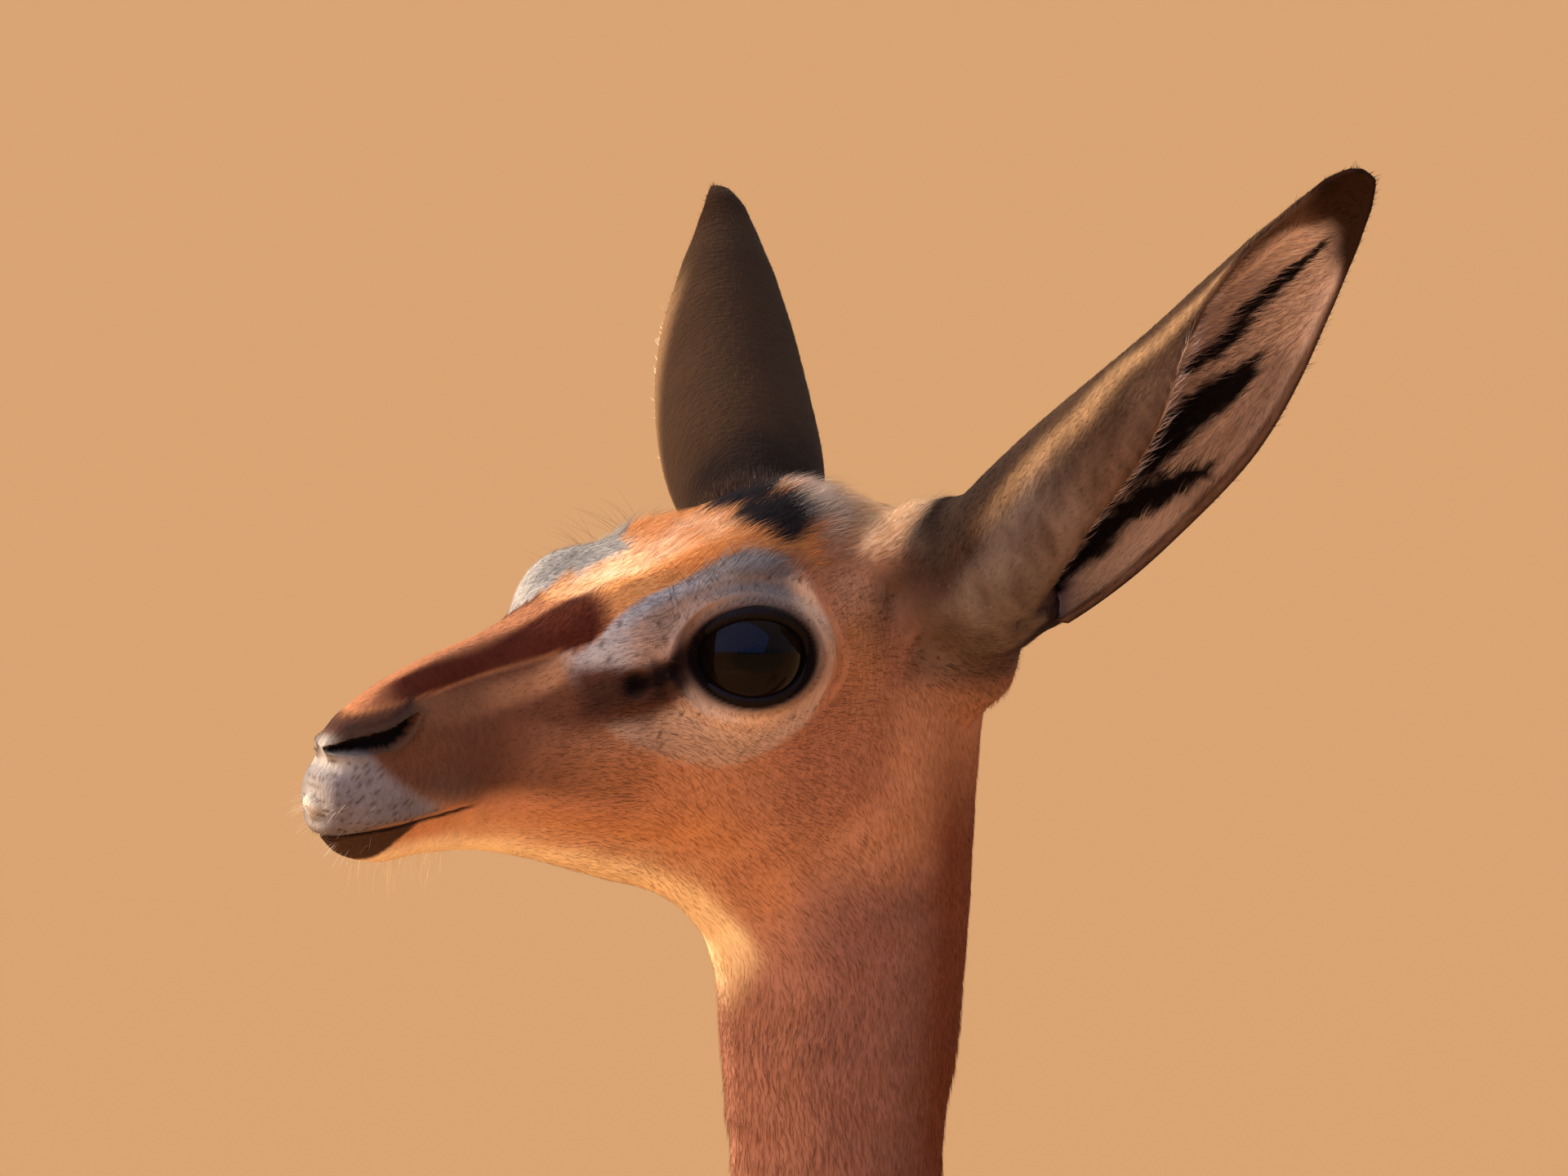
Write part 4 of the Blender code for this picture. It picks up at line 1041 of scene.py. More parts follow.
def muzzle_marks(colour, f, l, h, side, wander):
    """Brown front of the cheek, the pale stripe over it and the dark sides of the nose."""
    brown = ramp(f + 0.25 * (h + 30) + 2 * wander, 22, 80) * ramp(h + wander, -46, -36)
    brown = np.maximum(brown, ramp(f, 46, 62) * ramp(h + 0.1 * (f - 60) + wander, -27, -17))
    colour = mixed(colour, CHEEK_FRONT, 0.95 * brown)
    colour = mixed(colour, NOSE_TAN, 0.9 * bell(f, 100, 7) * bell(h, -25, 6))
    gap, where = off_line(side, PALE_STRIPE)
    pale = mixed(np.tile(np.array(STRIPE_TAN), (len(f), 1)), STRIPE_PALE, ramp(f, 70, 57))
    share = ramp(gap + 1.0 * wander, 5.5, 1.5) * (0.35 + 0.65 * ramp(f, 84, 72))
    colour = colour + (pale - colour) * share[:, None]
    return mixed(colour, LIP_BROWN, 0.8 * bell(f, 92, 11) * bell(h, -38, 6))


def eye_marks(colour, f, l, h, side, reach, b, wander):
    """Pale brow and under-ring, with a painted highlight along the brow's top, painted shade under it and painted
    light behind the eye; the gland and its dark way to the eye, dark lid edges.
    """
    oval = np.hypot((f - 13) / np.where(f > 13, 47, 34), (h - 1.0) / np.where(h > 1, 32, 31.5))
    ring = ramp(oval + wander * 0.015, 1.03, 0.965)
    white = mixed(np.tile(np.array(BROW_PINK), (len(f), 1)), BROW_WHITE, ramp(f, 40, 50) * ramp(f, 60, 54))
    # Painted shade: grey under the lit top of the brow, and a pink band in the upper lid's fold.
    white = mixed(white, BROW_SHADE_GREY, ramp(h, 15, 21) * ramp(f, 46, 32))
    white = mixed(white, BROW_PINK, bell(reach, 1.62, 0.16) * ramp(b, 0.7, 1.1) * ramp(f, 12, 26) * 0.8)
    # Painted highlight: a white line under the rufous edge stands for the sunlit top of the brow.
    under_edge = on_line(f, NOSE_BAND_EDGE) - h
    rim = bell(under_edge, 1.6, 2.2) * ramp(f, -14, -2) * ramp(h, 4, 10)
    white = mixed(white, BROW_WHITE, 0.95 * rim)
    low = ramp(h + 0.15 * (f - 20), 2, -8)
    # Under and behind the eye the ring's pale fur is brightened as painted light that lifts the shade there.
    under = mixed(np.tile(np.array(RING_BACK_LIT), (len(f), 1)), RING_LOW, ramp(oval, 0.58, 0.84))
    under = mixed(under, CHEEK_FRONT, 0.35 * ramp(f, 8, 34))
    under = mixed(under, GLAND_BROWN, ramp(f, 28, 40) * ramp(h, -22, -12))
    white = white + (under - white) * low[:, None]
    # Painted light: the ring behind the eye is brightened against the shade there.
    white = mixed(white, RING_BACK_LIT, ramp(f, -4, -14) * ramp(h, -6, 6))
    colour = colour + (white - colour) * ring[:, None]
    gap, where = off_line(side, ((62, -12), (52, -10), GLAND, (34, -4), (24, 0.5)))
    colour = mixed(colour, CHEEK_FRONT, ramp(gap + wander, 13, 6) * ramp(f, 22, 32) * ramp(h, 2, -3) * ramp(f, 64, 54))
    colour = mixed(colour, GLAND_BROWN, ramp(gap + 0.8 * wander, 8.0, 3.0) * ramp(f, 20, 27) * ramp(f, 60, 50))
    gap = np.hypot((f - GLAND[0]) / 1.15, h - GLAND[1])
    colour = mixed(colour, GLAND_DARK, ramp(gap, 4.8, 2.2))
    gap, where = off_line(side, ((38, -4.5), (24, 0.8)))
    colour = mixed(colour, GLAND_DARK, 0.8 * ramp(gap, 3.8, 1.2))
    colour = mixed(colour, GLAND_BROWN, 0.75 * ramp(reach, 1.55, 1.22))
    colour = mixed(colour, GLAND_DARK, ramp(reach, 1.32, 1.17))
    dotted = dots(side + 7, 5.5, 0.5) * ramp(reach, 1.5, 1.7)
    return mixed(colour, GLAND_BROWN, 0.75 * dotted * ring)


def top_marks(colour, f, l, h, far, wander, fine):
    """Rufous forehead with painted glints, a painted sunlit far brow, ridge of the nose with painted shade on its
    sides, black and white of the crown, temples and poll brightened as painted light.
    """
    edge = h - on_line(f, NOSE_BAND_EDGE) + np.clip(30 - l, -8, 30) * 0.8 * ramp(f, 62, 44)
    # The far brow is painted pale as a sunlit highlight, partly its own pale fur; its rufous edge is pushed up there.
    brow = far * ramp(f + 2 * wander, 14, 32) * ramp(f, 70, 58)
    edge = edge - (22 + 4 * fine) * brow
    colour = mixed(colour, SUNLIT_FAR_BROW, 0.95 * ramp(brow, 0.15, 0.7) * ramp(h, 2, 14))
    top = ramp(edge + 0.5 * wander, -0.8, 1.0) * ramp(f, -24, -14)
    colour = mixed(colour, RUFOUS, top)
    # Painted glints: pale gold highlights on the top of the forehead.
    painted_glint = top * ramp(l, 24, 6) * ramp(f, -6, 8) * ramp(f, 58, 44)
    colour = mixed(colour, GLINT_GOLD, painted_glint * (0.30 + 0.25 * fine))
    nose = top * ramp(f + 3 * wander - 0.25 * (30 - l) * ramp(f, 62, 50), 44, 51)
    colour = mixed(colour, RIDGE, nose)
    # The chestnut on the nose's sides is partly its own dark band and partly painted shade; the ridge's top stays
    # lighter.
    colour = mixed(colour, NOSE_SIDE_CHESTNUT_SHADE, nose * ramp(f, 43, 53) * ramp(l, 1.5 + 0.07 * (107 - f), 4.0 + 0.11 * (107 - f)) * ramp(f, 114, 103))
    # The temple's tan is brightened as painted light against the shade there.
    temple = ramp(f, -18, -28) * ramp(h + 2 * wander, 6, 20)
    colour = mixed(colour, TEMPLE, 0.85 * temple)
    grey = ramp(f + 2 * wander, -46, -56) * ramp(h + 2 * wander, -14, -4)
    colour = mixed(colour, TEMPLE_GREY, 0.9 * grey)
    colour = mixed(colour, EAR_GREY, 0.85 * bell(f, -66, 10) * bell(h, 0, 9) * (0.8 + 0.2 * fine))
    # The poll's tan is partly its own colour and partly a painted rim highlight.
    poll = ramp(h + 0.10 * f + wander + fine, 22, 30) * ramp(f, -28, -36) * ramp(f + 2 * wander, -68, -58)
    colour = mixed(colour, POLL_RIM_LIT_TAN, poll)
    streak = bell(h + 0.25 * (f + 48) + wander, 22, 2.6) * ramp(f, -38, -44) * ramp(f, -66, -58)
    colour = mixed(colour, TEMPLE_GREY, 0.7 * streak)
    patch = np.hypot((f + 9) / 11.5, (l - 13) / 14) + 0.10 * wander + 0.08 * fine
    colour = mixed(colour, CROWN_BLACK, ramp(patch, 1.08, 0.80) * ramp(h, 28, 33))
    patch = np.hypot((f + 25) / 7.5, (l - 12) / 14) + 0.12 * wander + 0.08 * fine
    return mixed(colour, CROWN_WHITE, ramp(patch, 1.20, 0.5) * ramp(h, 28, 34) * 0.75)


def lip_marks(colour, head, f, h, side):
    """Grey dotted upper lip, white at the front with a painted highlight, a painted highlight along the mouth, dark
    lower lip, cream chin and throat; painted shade low on the lip's front, in the mouth, the nostril and its wing, and
    less cream on the far side.
    """
    wander = mottle(head, 14)
    rise, mouth = mouth_gap(head)
    low = on_line(f, CREAM_EDGE) - h
    throat = ramp(h, -125, -98) * ramp(f + 0.25 * h, -38, -26)
    # Painted shade: less cream on the far, sunlit side of the throat and jaw.
    throat = throat * (1 - 0.6 * ramp(-head[:, 1], 3, 12))
    colour = mixed(colour, CREAM, ramp(low + 1.2 * wander, -2.5, 3.5) * throat)
    colour = mixed(colour, CREAM, 0.30 * ramp(low, -10, 2) * ramp(f, 95, 70) * ramp(h, -110, -90) * ramp(f, -20, 5))
    upper = ramp(rise, -0.5, 0.5)
    lip = ramp(on_line(f, LIP_EDGE) - h + 1.0 * wander, -2.0, 2.5) * ramp(f, 90, 98) * upper
    colour = mixed(colour, LIP_GREY, lip)
    # Painted shade at the lower front of the upper lip.
    colour = mixed(colour, LIP_DARK, 0.3 * lip * bell(f, 126, 4) * ramp(h, -34, -42))
    # The lip's front is partly its own pale hair and partly a painted highlight where the sun falls.
    colour = mixed(colour, WHITE, 0.7 * lip * ramp(f, 126, 133))
    colour = mixed(colour, WHITE, 0.35 * lip * bell(f, 126, 5) * ramp(h, -36, -31))
    colour = mixed(colour, NOSE_TAN, 0.6 * lip * ramp(rise, 3.5, 1.5) * ramp(f, 122, 114))
    # Painted highlight: a light line along the upper lip's edge above the mouth.
    colour = mixed(colour, PALE_FAWN, 0.5 * upper * bell(rise, 1.6, 0.7) * ramp(f, 82, 88) * ramp(f, 118, 112))
    depth = 9.5 * ramp(f, 96, 113)
    lower = ramp(rise, 0, -0.8) * ramp(rise + depth, -0.8, 0.8) * ramp(f, 97, 103)
    colour = mixed(colour, LIP_DARK, lower)
    colour = mixed(colour, CREAM, 0.5 * ramp(rise + depth, -0.5, -3.0) * ramp(f, 104, 112) * (1 - upper))
    # Painted shade: the mouth's crease is painted black.
    colour = mixed(colour, HOLLOW_SHADE_BLACK, mouth * ramp(np.abs(rise), 0.95, 0.35))
    dotted = dots(side, 2.7, 0.48)
    colour = mixed(colour, LIP_DARK, 0.75 * dotted * ramp(lip, 0.2, 0.7) * ramp(h, -28, -31) * ramp(f, 131, 127))
    deep, rim = nostril_share(head)
    wing = h - on_line(f, [row[:2] for row in NOSTRIL])
    # Painted shade in the fold of the nostril's wing above the opening.
    colour = mixed(colour, NOSTRIL_WING_SHADE, ramp(wing, -1, 1) * ramp(wing, 8.0, 5.0) * ramp(f, 99, 103) * ramp(f, 127, 121))
    colour = mixed(colour, LIP_DARK, 0.6 * rim * ramp(f, 130, 126))
    # Painted shade: the inside of the nostril is painted black.
    return mixed(colour, HOLLOW_SHADE_BLACK, ramp(deep, 0.05, 0.25))


def head_colours(head):
    """Markings of the head and neck at points given in millimetres of the head."""
    f, l, h = head[:, 0], np.abs(head[:, 1]), head[:, 2]
    side = head[:, [0, 2]]
    wander, fine = mottle(head, 14), mottle(head, 4.5, 2.0)
    a, b, reach = eye_share(head)
    colour = neck_and_cheek(f, l, h, wander)
    colour = muzzle_marks(colour, f, l, h, side, wander)
    colour = eye_marks(colour, f, l, h, side, reach, b, wander)
    colour = top_marks(colour, f, l, h, ramp(-head[:, 1], 5, 12), wander, fine)
    return lip_marks(colour, head, f, h, side)


def body_colours(straight, colour, normals):
    """Markings of trunk, legs and tail over those of the neck."""
    x, y, z = straight.T
    wander = mottle(straight, 0.06) * 0.010
    low_neck = ramp(z, 1.12, 1.02)
    colour = mixed(colour, FAWN, low_neck)
    colour = mixed(colour, SADDLE, 0.9 * low_neck * ramp(normals[:, 0] + wander * 20, 0.1, 0.8))
    body = ramp(z - x * 0.10, 1.07, 0.98)
    body = np.maximum(body, ramp(x, -0.30, -0.22))
    colour = mixed(colour, FAWN, body * ramp(x, -0.36, -0.26) * ramp(z, 1.04, 0.92))
    trunk = ramp(x, -0.30, -0.20)
    flank_edge = 0.838 + 0.012 * np.sin(x * 7)
    colour = mixed(colour, PALE_FAWN, trunk * ramp(z + wander, flank_edge + 0.010, flank_edge - 0.012))
    colour = mixed(colour, SADDLE, ramp(x, -0.33, -0.24) * ramp(z + wander, flank_edge, flank_edge + 0.022) * 0.9)
    belly_edge = np.interp(x, (-0.30, -0.2, -0.05, 0.1, 0.2, 0.3), (0.66, 0.665, 0.672, 0.682, 0.700, 0.70))
    facing_down = np.clip(-normals[:, 2], 0, 1)
    under = ramp(z + wander * 0.5, belly_edge + 0.012, belly_edge - 0.012) * ramp(z, 0.54, 0.60)
    under = under * ramp(np.abs(y), 0.105, 0.085) * ramp(facing_down + (0.06 - np.abs(y)) * 4, 0.1, 0.4)
    colour = mixed(colour, BELLY, under * trunk)
    inner = ramp(normals[:, 1] * np.sign(y) + wander * 12, 0.0, -0.75) * ramp(z, 0.34, 0.50) * ramp(z, 0.70, 0.64)
    colour = mixed(colour, BELLY, 0.75 * inner)
    rump = np.hypot(np.abs(y) / 0.040, (z - 0.780) / 0.060) + wander * 8
    colour = mixed(colour, BELLY, ramp(rump, 1.15, 0.7) * ramp(x, 0.335, 0.355) * ramp(x, 0.40, 0.385))
    low = ramp(z, 0.50, 0.36) * ramp(np.abs(x - 0.40), 0.02, 0.06)
    colour = mixed(colour, SHANK, low)
    knee = bell(z + wander * 1.5, 0.318, 0.032) * ramp(x, 0.0, -0.1) * ramp(normals[:, 0], 0.25, -0.7)
    colour = mixed(colour, KNEE_DARK, 0.8 * knee)
    colour = mixed(colour, KNEE_DARK, 0.5 * ramp(z, 0.075, 0.045))
    tail = ramp(x, 0.380, 0.388) * ramp(np.abs(y), 0.03, 0.02) * ramp(z, 0.55, 0.57)
    colour = mixed(colour, FAWN, tail)
    colour = mixed(colour, TAIL_BLACK, tail * ramp(z, 0.76, 0.70))
    return colour


def ear_mask(points, normals):
    """For each point: how much it is of an ear's cup, its place across and along, inside or not."""
    share = np.zeros(len(points))
    across, lengthwise = np.zeros(len(points)), np.zeros(len(points))
    inside = np.zeros(len(points), bool)
    which = np.zeros(len(points), int)
    for number, name in enumerate(EARS):
        u, v, gap, inner = EarFrame(name).shares(points, normals)
        near = ramp(gap, 0.0065, 0.0040) * (v > -0.05) * (v < 1.06) * (np.abs(u) < 1.2)
        near = near * ramp(v, 0.02, 0.16)
        here = near > share
        share = np.where(here, near, share)
        across, lengthwise = np.where(here, u, across), np.where(here, v, lengthwise)
        inside, which = np.where(here, inner, inside), np.where(here, number, which)
    return share, across, lengthwise, inside, which


def ear_colours(points, colour, ear):
    """Dark backs, partly painted shade, with lighter bands and painted golden highlights, pale inside with three black
    streaks, black tips.
    """
    share, u, v, inside, which = ear
    wander = mottle(points, 0.011)
    toward = np.where(which == 0, 1.0, -1.0)
    u = u * toward
    fine = mottle(points, 0.0030, 4.0)
    # The ear backs' dark brown is partly their own colour and partly painted shade.
    back = np.tile(np.array(EAR_BACK_SHADED), (len(points), 1))
    near_ear = np.where(which == 0, 1.0, 0.0)
    line = -0.53 - 2.2 * np.clip(v - 0.5, 0, 1) + 0.02 * wander
    # Painted highlight: a golden band along the near ear's back.
    lit_gold = bell(u, line, 0.085) * ramp(v, 0.18, 0.28) * (0.75 + 0.25 * fine)
    back = mixed(back, EAR_LIT_GOLD, near_ear * lit_gold)
    back = mixed(back, EAR_BROWN, (0.6 + 0.3 * fine) * near_ear * ramp(u - line, -0.12, -0.34) * ramp(v, 0.2, 0.3))
    grey = ramp(u + 0.05 * wander, -0.50, -0.64) * ramp(v, 0.40, 0.24) * (0.50 + 0.22 * wander + 0.15 * fine)
    back = mixed(back, EAR_GREY, near_ear * grey)
    back = mixed(back, EAR_EDGE, 0.8 * near_ear * ramp(u - line, 0.05, 0.16) * ramp(v, 0.44, 0.34))
    back = mixed(back, EAR_BAND, 0.65 * near_ear * ramp(u + 0.05 * wander, -0.54, -0.36) * ramp(v, 0.44, 0.24))
    # Painted highlight along the far ear's edge.
    back = mixed(back, EAR_LIT_GOLD, 0.5 * (1 - near_ear) * ramp(u, -0.70, -0.95) * ramp(v, 0.8, 0.65))
    dark_far = np.where(which == 1, 1.0, 0.3) * ramp(u, -0.7, -0.3)
    back = mixed(back, EAR_BAND, 0.85 * dark_far * ramp(v + 0.04 * wander, 0.30, 0.16))
    back = mixed(back, EAR_TIP, ramp(v + 0.02 * wander, 0.84, 0.92))
    front = np.tile(np.array(EAR_WHITE), (len(points), 1))
    front = mixed(front, EAR_BROWN, 0.55 * bell(u + 0.04 * wander, 0.86, 0.13) * ramp(v, 0.30, 0.40) * ramp(v, 0.72, 0.6))
    for line, half in EAR_STREAKS:
        gap, where = off_line(np.column_stack((v, u)), line, (3.0, 1.0))
        thick = half * np.minimum(np.minimum(0.40 + 1.3 * where, 0.45 + 2.5 * (1 - where)), 1)
        front = mixed(front, EAR_STRIPE, ramp(gap + 0.012 * wander + 0.018 * fine, thick * 1.15, thick * 0.75))
    front = mixed(front, EAR_RIM, ramp(u + 0.02 * wander, 0.90, 0.97) * 0.9)
    front = mixed(front, EAR_BROWN, ramp(v - 0.18 * u + 0.03 * wander, 0.80, 0.86))
    front = mixed(front, EAR_TIP, ramp(v + 0.06 * np.clip(u, -0.6, 1) + 0.02 * wander, 0.84, 0.91))
    front = mixed(front, EAR_BROWN, ramp(v, 0.08, 0.0) * 0.6)
    both = np.where(inside[:, None], front, back)
    return colour + (both - colour) * share[:, None]


def coat_depth(straight, head, ear_share):
    """How far the skin lies under the outer face of the coat, in metres."""
    z = straight[:, 2]
    depth = 0.0006 + 0.0008 * ramp(head[:, 0], 70, 10)
    depth = depth + 0.0010 * ramp(z, 1.22, 1.05) + 0.0008 * ramp(z, 1.0, 0.95)
    depth = np.where(z < 0.45, 0.0008 + 0.0020 * ramp(z, 0.30, 0.45), depth)
    reach = eye_share(head)[2]
    depth = depth * ramp(reach, 1.25, 1.9)
    return depth * (1 - ear_share)


def markings(points, normals):
    """Colour of the coat at posed points with outward normals."""
    straight = straightened(points)
    head = to_head(straight)
    colour = head_colours(head)
    colour = body_colours(straight, colour, normals)
    root = np.zeros(len(points))
    grey = np.zeros(len(points))
    for name in EARS:
        ear = EarFrame(name)
        away = points - np.array(SHIFT) - ear.root
        v = away @ ear.axis / (EAR_LENGTH * MM)
        off = np.linalg.norm(away - np.outer(away @ ear.axis, ear.axis), axis=1)
        wander = mottle(points, 0.012)
        root = np.maximum(root, ramp(off + wander * 0.003, 0.034, 0.022) * ramp(v, -0.26, -0.08) * ramp(v, 0.5, 0.3))
        spot = np.linalg.norm(away - np.array((0.005, -0.030, 0.002)), axis=1)
        grey = np.maximum(grey, ramp(spot, 0.020, 0.006) if name == "ear_left" else 0)
    colour = mixed(colour, EAR_ROOT, 0.85 * root)
    colour = mixed(colour, EAR_GREY, 0.9 * grey)
    return ear_colours(points, colour, ear_mask(points, normals))

# ---------------------------------------------------------------- coat

def unit(vectors):
    return vectors / np.maximum(np.linalg.norm(vectors, axis=1), 1e-9)[:, None]


def lie_of_coat(points, normals, ear):
    """The way that the hair points at posed places, along the skin."""
    straight = straightened(points)
    head = to_head(straight)
    f, l, h = head.T
    x, y, z = straight.T
    way = np.tile(np.array((-1.0, 0.0, 0.18)), (len(points), 1))
    way = mixed(way, (-0.8, 0, 0.35), ramp(h, 5, 20) * ramp(f, 50, 20))
    way = mixed(way, (-0.75, 0, -0.5), ramp(h, -15, -35) * ramp(f, 60, 20))
    way = mixed(way, (-0.25, 0, -1.0), ramp(f, -20, -50) * ramp(h, 10, -25))
    way = mixed(way, (0.0, 0, -1.0), ramp(h, -75, -110))
    way = mixed(way, (-0.7, 0, 0.2), bell(f, -30, 16) * ramp(h, 30, 38) * 0.8)
    a, b, reach = eye_share(head)
    out = np.column_stack((a, np.zeros(len(a)), b - 0.25)) / np.maximum(reach, 0.3)[:, None]
    way = way + out * (1.1 * ramp(reach, 2.6, 1.1))[:, None]
    tip = unit(from_head(head + way * 0.5) - from_head(head))
    # neck and body in the straight design's own directions
    neck = np.tile(np.array((0.18, 0.0, -1.0)), (len(points), 1))
    body = mixed(neck, (1.0, 0.0, -0.45), ramp(x, -0.34, -0.20) * ramp(z, 1.02, 0.90))
    body = mixed(body, (0.35, 0.0, -1.0), ramp(z, 0.68, 0.60))
    body = mixed(body, (0.1, 0.0, -1.0), ramp(z, 0.60, 0.45))
    body = mixed(body, (0.3, 0.0, -1.0), ramp(x, 0.30, 0.37))
    tip = tip + (unit(body) - tip) * ramp(h, -110, -150)[:, None]
    swirl = np.column_stack([mottle(straight, 0.020 + 0.02 * ramp(z, 1.0, 0.9)[:, None], 3.0 * k) for k in range(3)])
    tip = tip + (0.16 - 0.12 * ramp(z, 1.15, 0.98))[:, None] * swirl
    step = posed(straight + tip * 0.0005) - posed(straight)
    way = unit(step)
    share, u, v, inside, which = ear
    lengthwise = np.array([EarFrame(name).axis for name in EARS])[which]
    across = np.array([EarFrame(name).across for name in EARS])[which]
    side = np.where(inside, np.sign(u) * 0.45, 0)[:, None] * across
    way = way + (unit(lengthwise + side) - way) * share[:, None]
    return unit(way - normals * (way * normals).sum(1)[:, None])


def coat_sizes(points, normals, ear):
    """Tufts per square millimetre, their length, width and how much they stand up."""
    straight = straightened(points)
    head = to_head(straight)
    f, l, h = head.T
    z = straight[:, 2]
    a, b, reach = eye_share(head)
    share, u, v, inside, which = ear
    dense = 1.35 + 0.35 * ramp(f, 30, 70)
    long = 0.0044 - 0.0022 * ramp(f, 50, 90)
    long = long + 0.0030 * ramp(f, 40, 15) * ramp(h, 18, 30)
    long = long + 0.0035 * np.exp(-(((f + 22) / 16) ** 2)) * ramp(h, 30, 38)
    long = long - 0.0018 * ramp(reach, 1.9, 1.3)
    wide = 0.00023 - 0.00005 * ramp(f, 30, 80) + 0.00006 * ramp(h, 20, 32)
    stand = 0.13 + 0.15 * np.exp(-(((f + 22) / 18) ** 2)) * ramp(h, 30, 38)
    brow = bell(f, 26, 26) * ramp(h, 20, 28) * ramp(np.abs(l), 18, 30)
    stand, long = stand + 0.22 * brow, long + 0.0012 * brow
    neck = ramp(h, -85, -130)
    dense = dense + (0.75 - dense) * neck
    long, wide = long + (0.0066 - long) * neck, wide + (0.00032 - wide) * neck
    low_neck = ramp(z, 1.14, 1.00)
    dense = dense + (0.32 - dense) * low_neck
    long, wide = long + (0.0100 - long) * low_neck, wide + (0.00048 - wide) * low_neck
    body = ramp(z, 1.00, 0.92)
    dense = dense + (0.140 - dense) * body
    long, wide = long + (0.0135 - long) * body, wide + (0.00070 - wide) * body
    leg = ramp(z, 0.60, 0.48)
    dense = dense + (0.19 - dense) * leg
    long, wide = long + (0.0085 - long) * leg, wide + (0.00058 - wide) * leg
    shank = ramp(z, 0.40, 0.32)
    dense = dense + (0.32 - dense) * shank
    long, wide = long + (0.0055 - long) * shank, wide + (0.00045 - wide) * shank
    dense = dense + (np.where(inside, 0.75, 0.95) - dense) * share
    inner_long = 0.0085 - 0.0040 * ramp(v, 0.7, 0.90) - 0.0015 * ramp(v, 0.88, 0.95)
    inner_long = inner_long - 0.0045 * ramp(np.where(which == 0, u, np.abs(u)), 0.72, 0.92)
    inner_long = inner_long - 0.0045 * ramp(v, 0.34, 0.18)
    inner_long = np.maximum(inner_long, 0.0030)
    long = long + (np.where(inside, inner_long, 0.0032) - long) * share
    wide = wide + (np.where(inside, 0.00030, 0.00024) - wide) * share
    stand = stand + (np.where(inside, 0.20, 0.14) - stand) * share
    bare = ramp(reach, 1.30, 1.20)
    deep, rim = nostril_share(head)
    rise, mouth = mouth_gap(head)
    bare = np.maximum(bare, ramp(deep, 0.05, 0.15))
    bare = np.maximum(bare, mouth * ramp(np.abs(rise), 1.3, 0.9))
    gland = np.hypot(f - GLAND[0], h - GLAND[1])
    bare = np.maximum(bare, ramp(gland, 3.2, 2.4))
    bare = np.maximum(bare, ramp(z, 0.040, 0.036))
    tail = ramp(straight[:, 0], 0.392, 0.398) * ramp(z, 0.70, 0.66) * (z > 0.5)
    bare = np.maximum(bare, tail)
    dense = dense * (1 - bare)
    return dense * 1e6, long, wide, stand


def coat_places(skin):
    """Roots of the tufts, spread over the skin's triangles by the coat's density."""
    mesh = skin.data
    mesh.calc_loop_triangles()
    count = len(mesh.loop_triangles)
    corners, loops = np.empty(count * 3, np.int32), np.empty(count * 3, np.int32)
    mesh.loop_triangles.foreach_get("vertices", corners)
    mesh.loop_triangles.foreach_get("loops", loops)
    corners, loops = corners.reshape(-1, 3), loops.reshape(-1, 3)
    co, normal = vertex_arrays(mesh)
    map_co = np.empty(len(mesh.loops) * 2, np.float32)
    mesh.uv_layers["OFBake"].data.foreach_get("uv", map_co)
    map_co = map_co.reshape(-1, 2)
    middle, facing = co[corners].mean(1), unit(normal[corners].mean(1))
    dense = coat_sizes(middle, facing, ear_mask(middle, facing))[0]
    cross = np.cross(co[corners[:, 1]] - co[corners[:, 0]], co[corners[:, 2]] - co[corners[:, 0]])
    expected = np.cumsum(np.linalg.norm(cross, axis=1) / 2 * dense)
    draw = np.random.default_rng(SEED)
    total = int(expected[-1])
    at = (np.arange(total) + draw.random(total)) / total * expected[-1]
    face = np.minimum(np.searchsorted(expected, at), count - 1)
    p, q = draw.random(total), draw.random(total)
    over = p + q > 1
    p, q = np.where(over, 1 - p, p), np.where(over, 1 - q, q)
    weights = np.column_stack((1 - p - q, p, q))
    root = (co[corners[face]] * weights[:, :, None]).sum(1)
    facing = unit((normal[corners[face]] * weights[:, :, None]).sum(1))
    uv = (map_co[loops[face]] * weights[:, :, None]).sum(1)
    return root, facing, uv


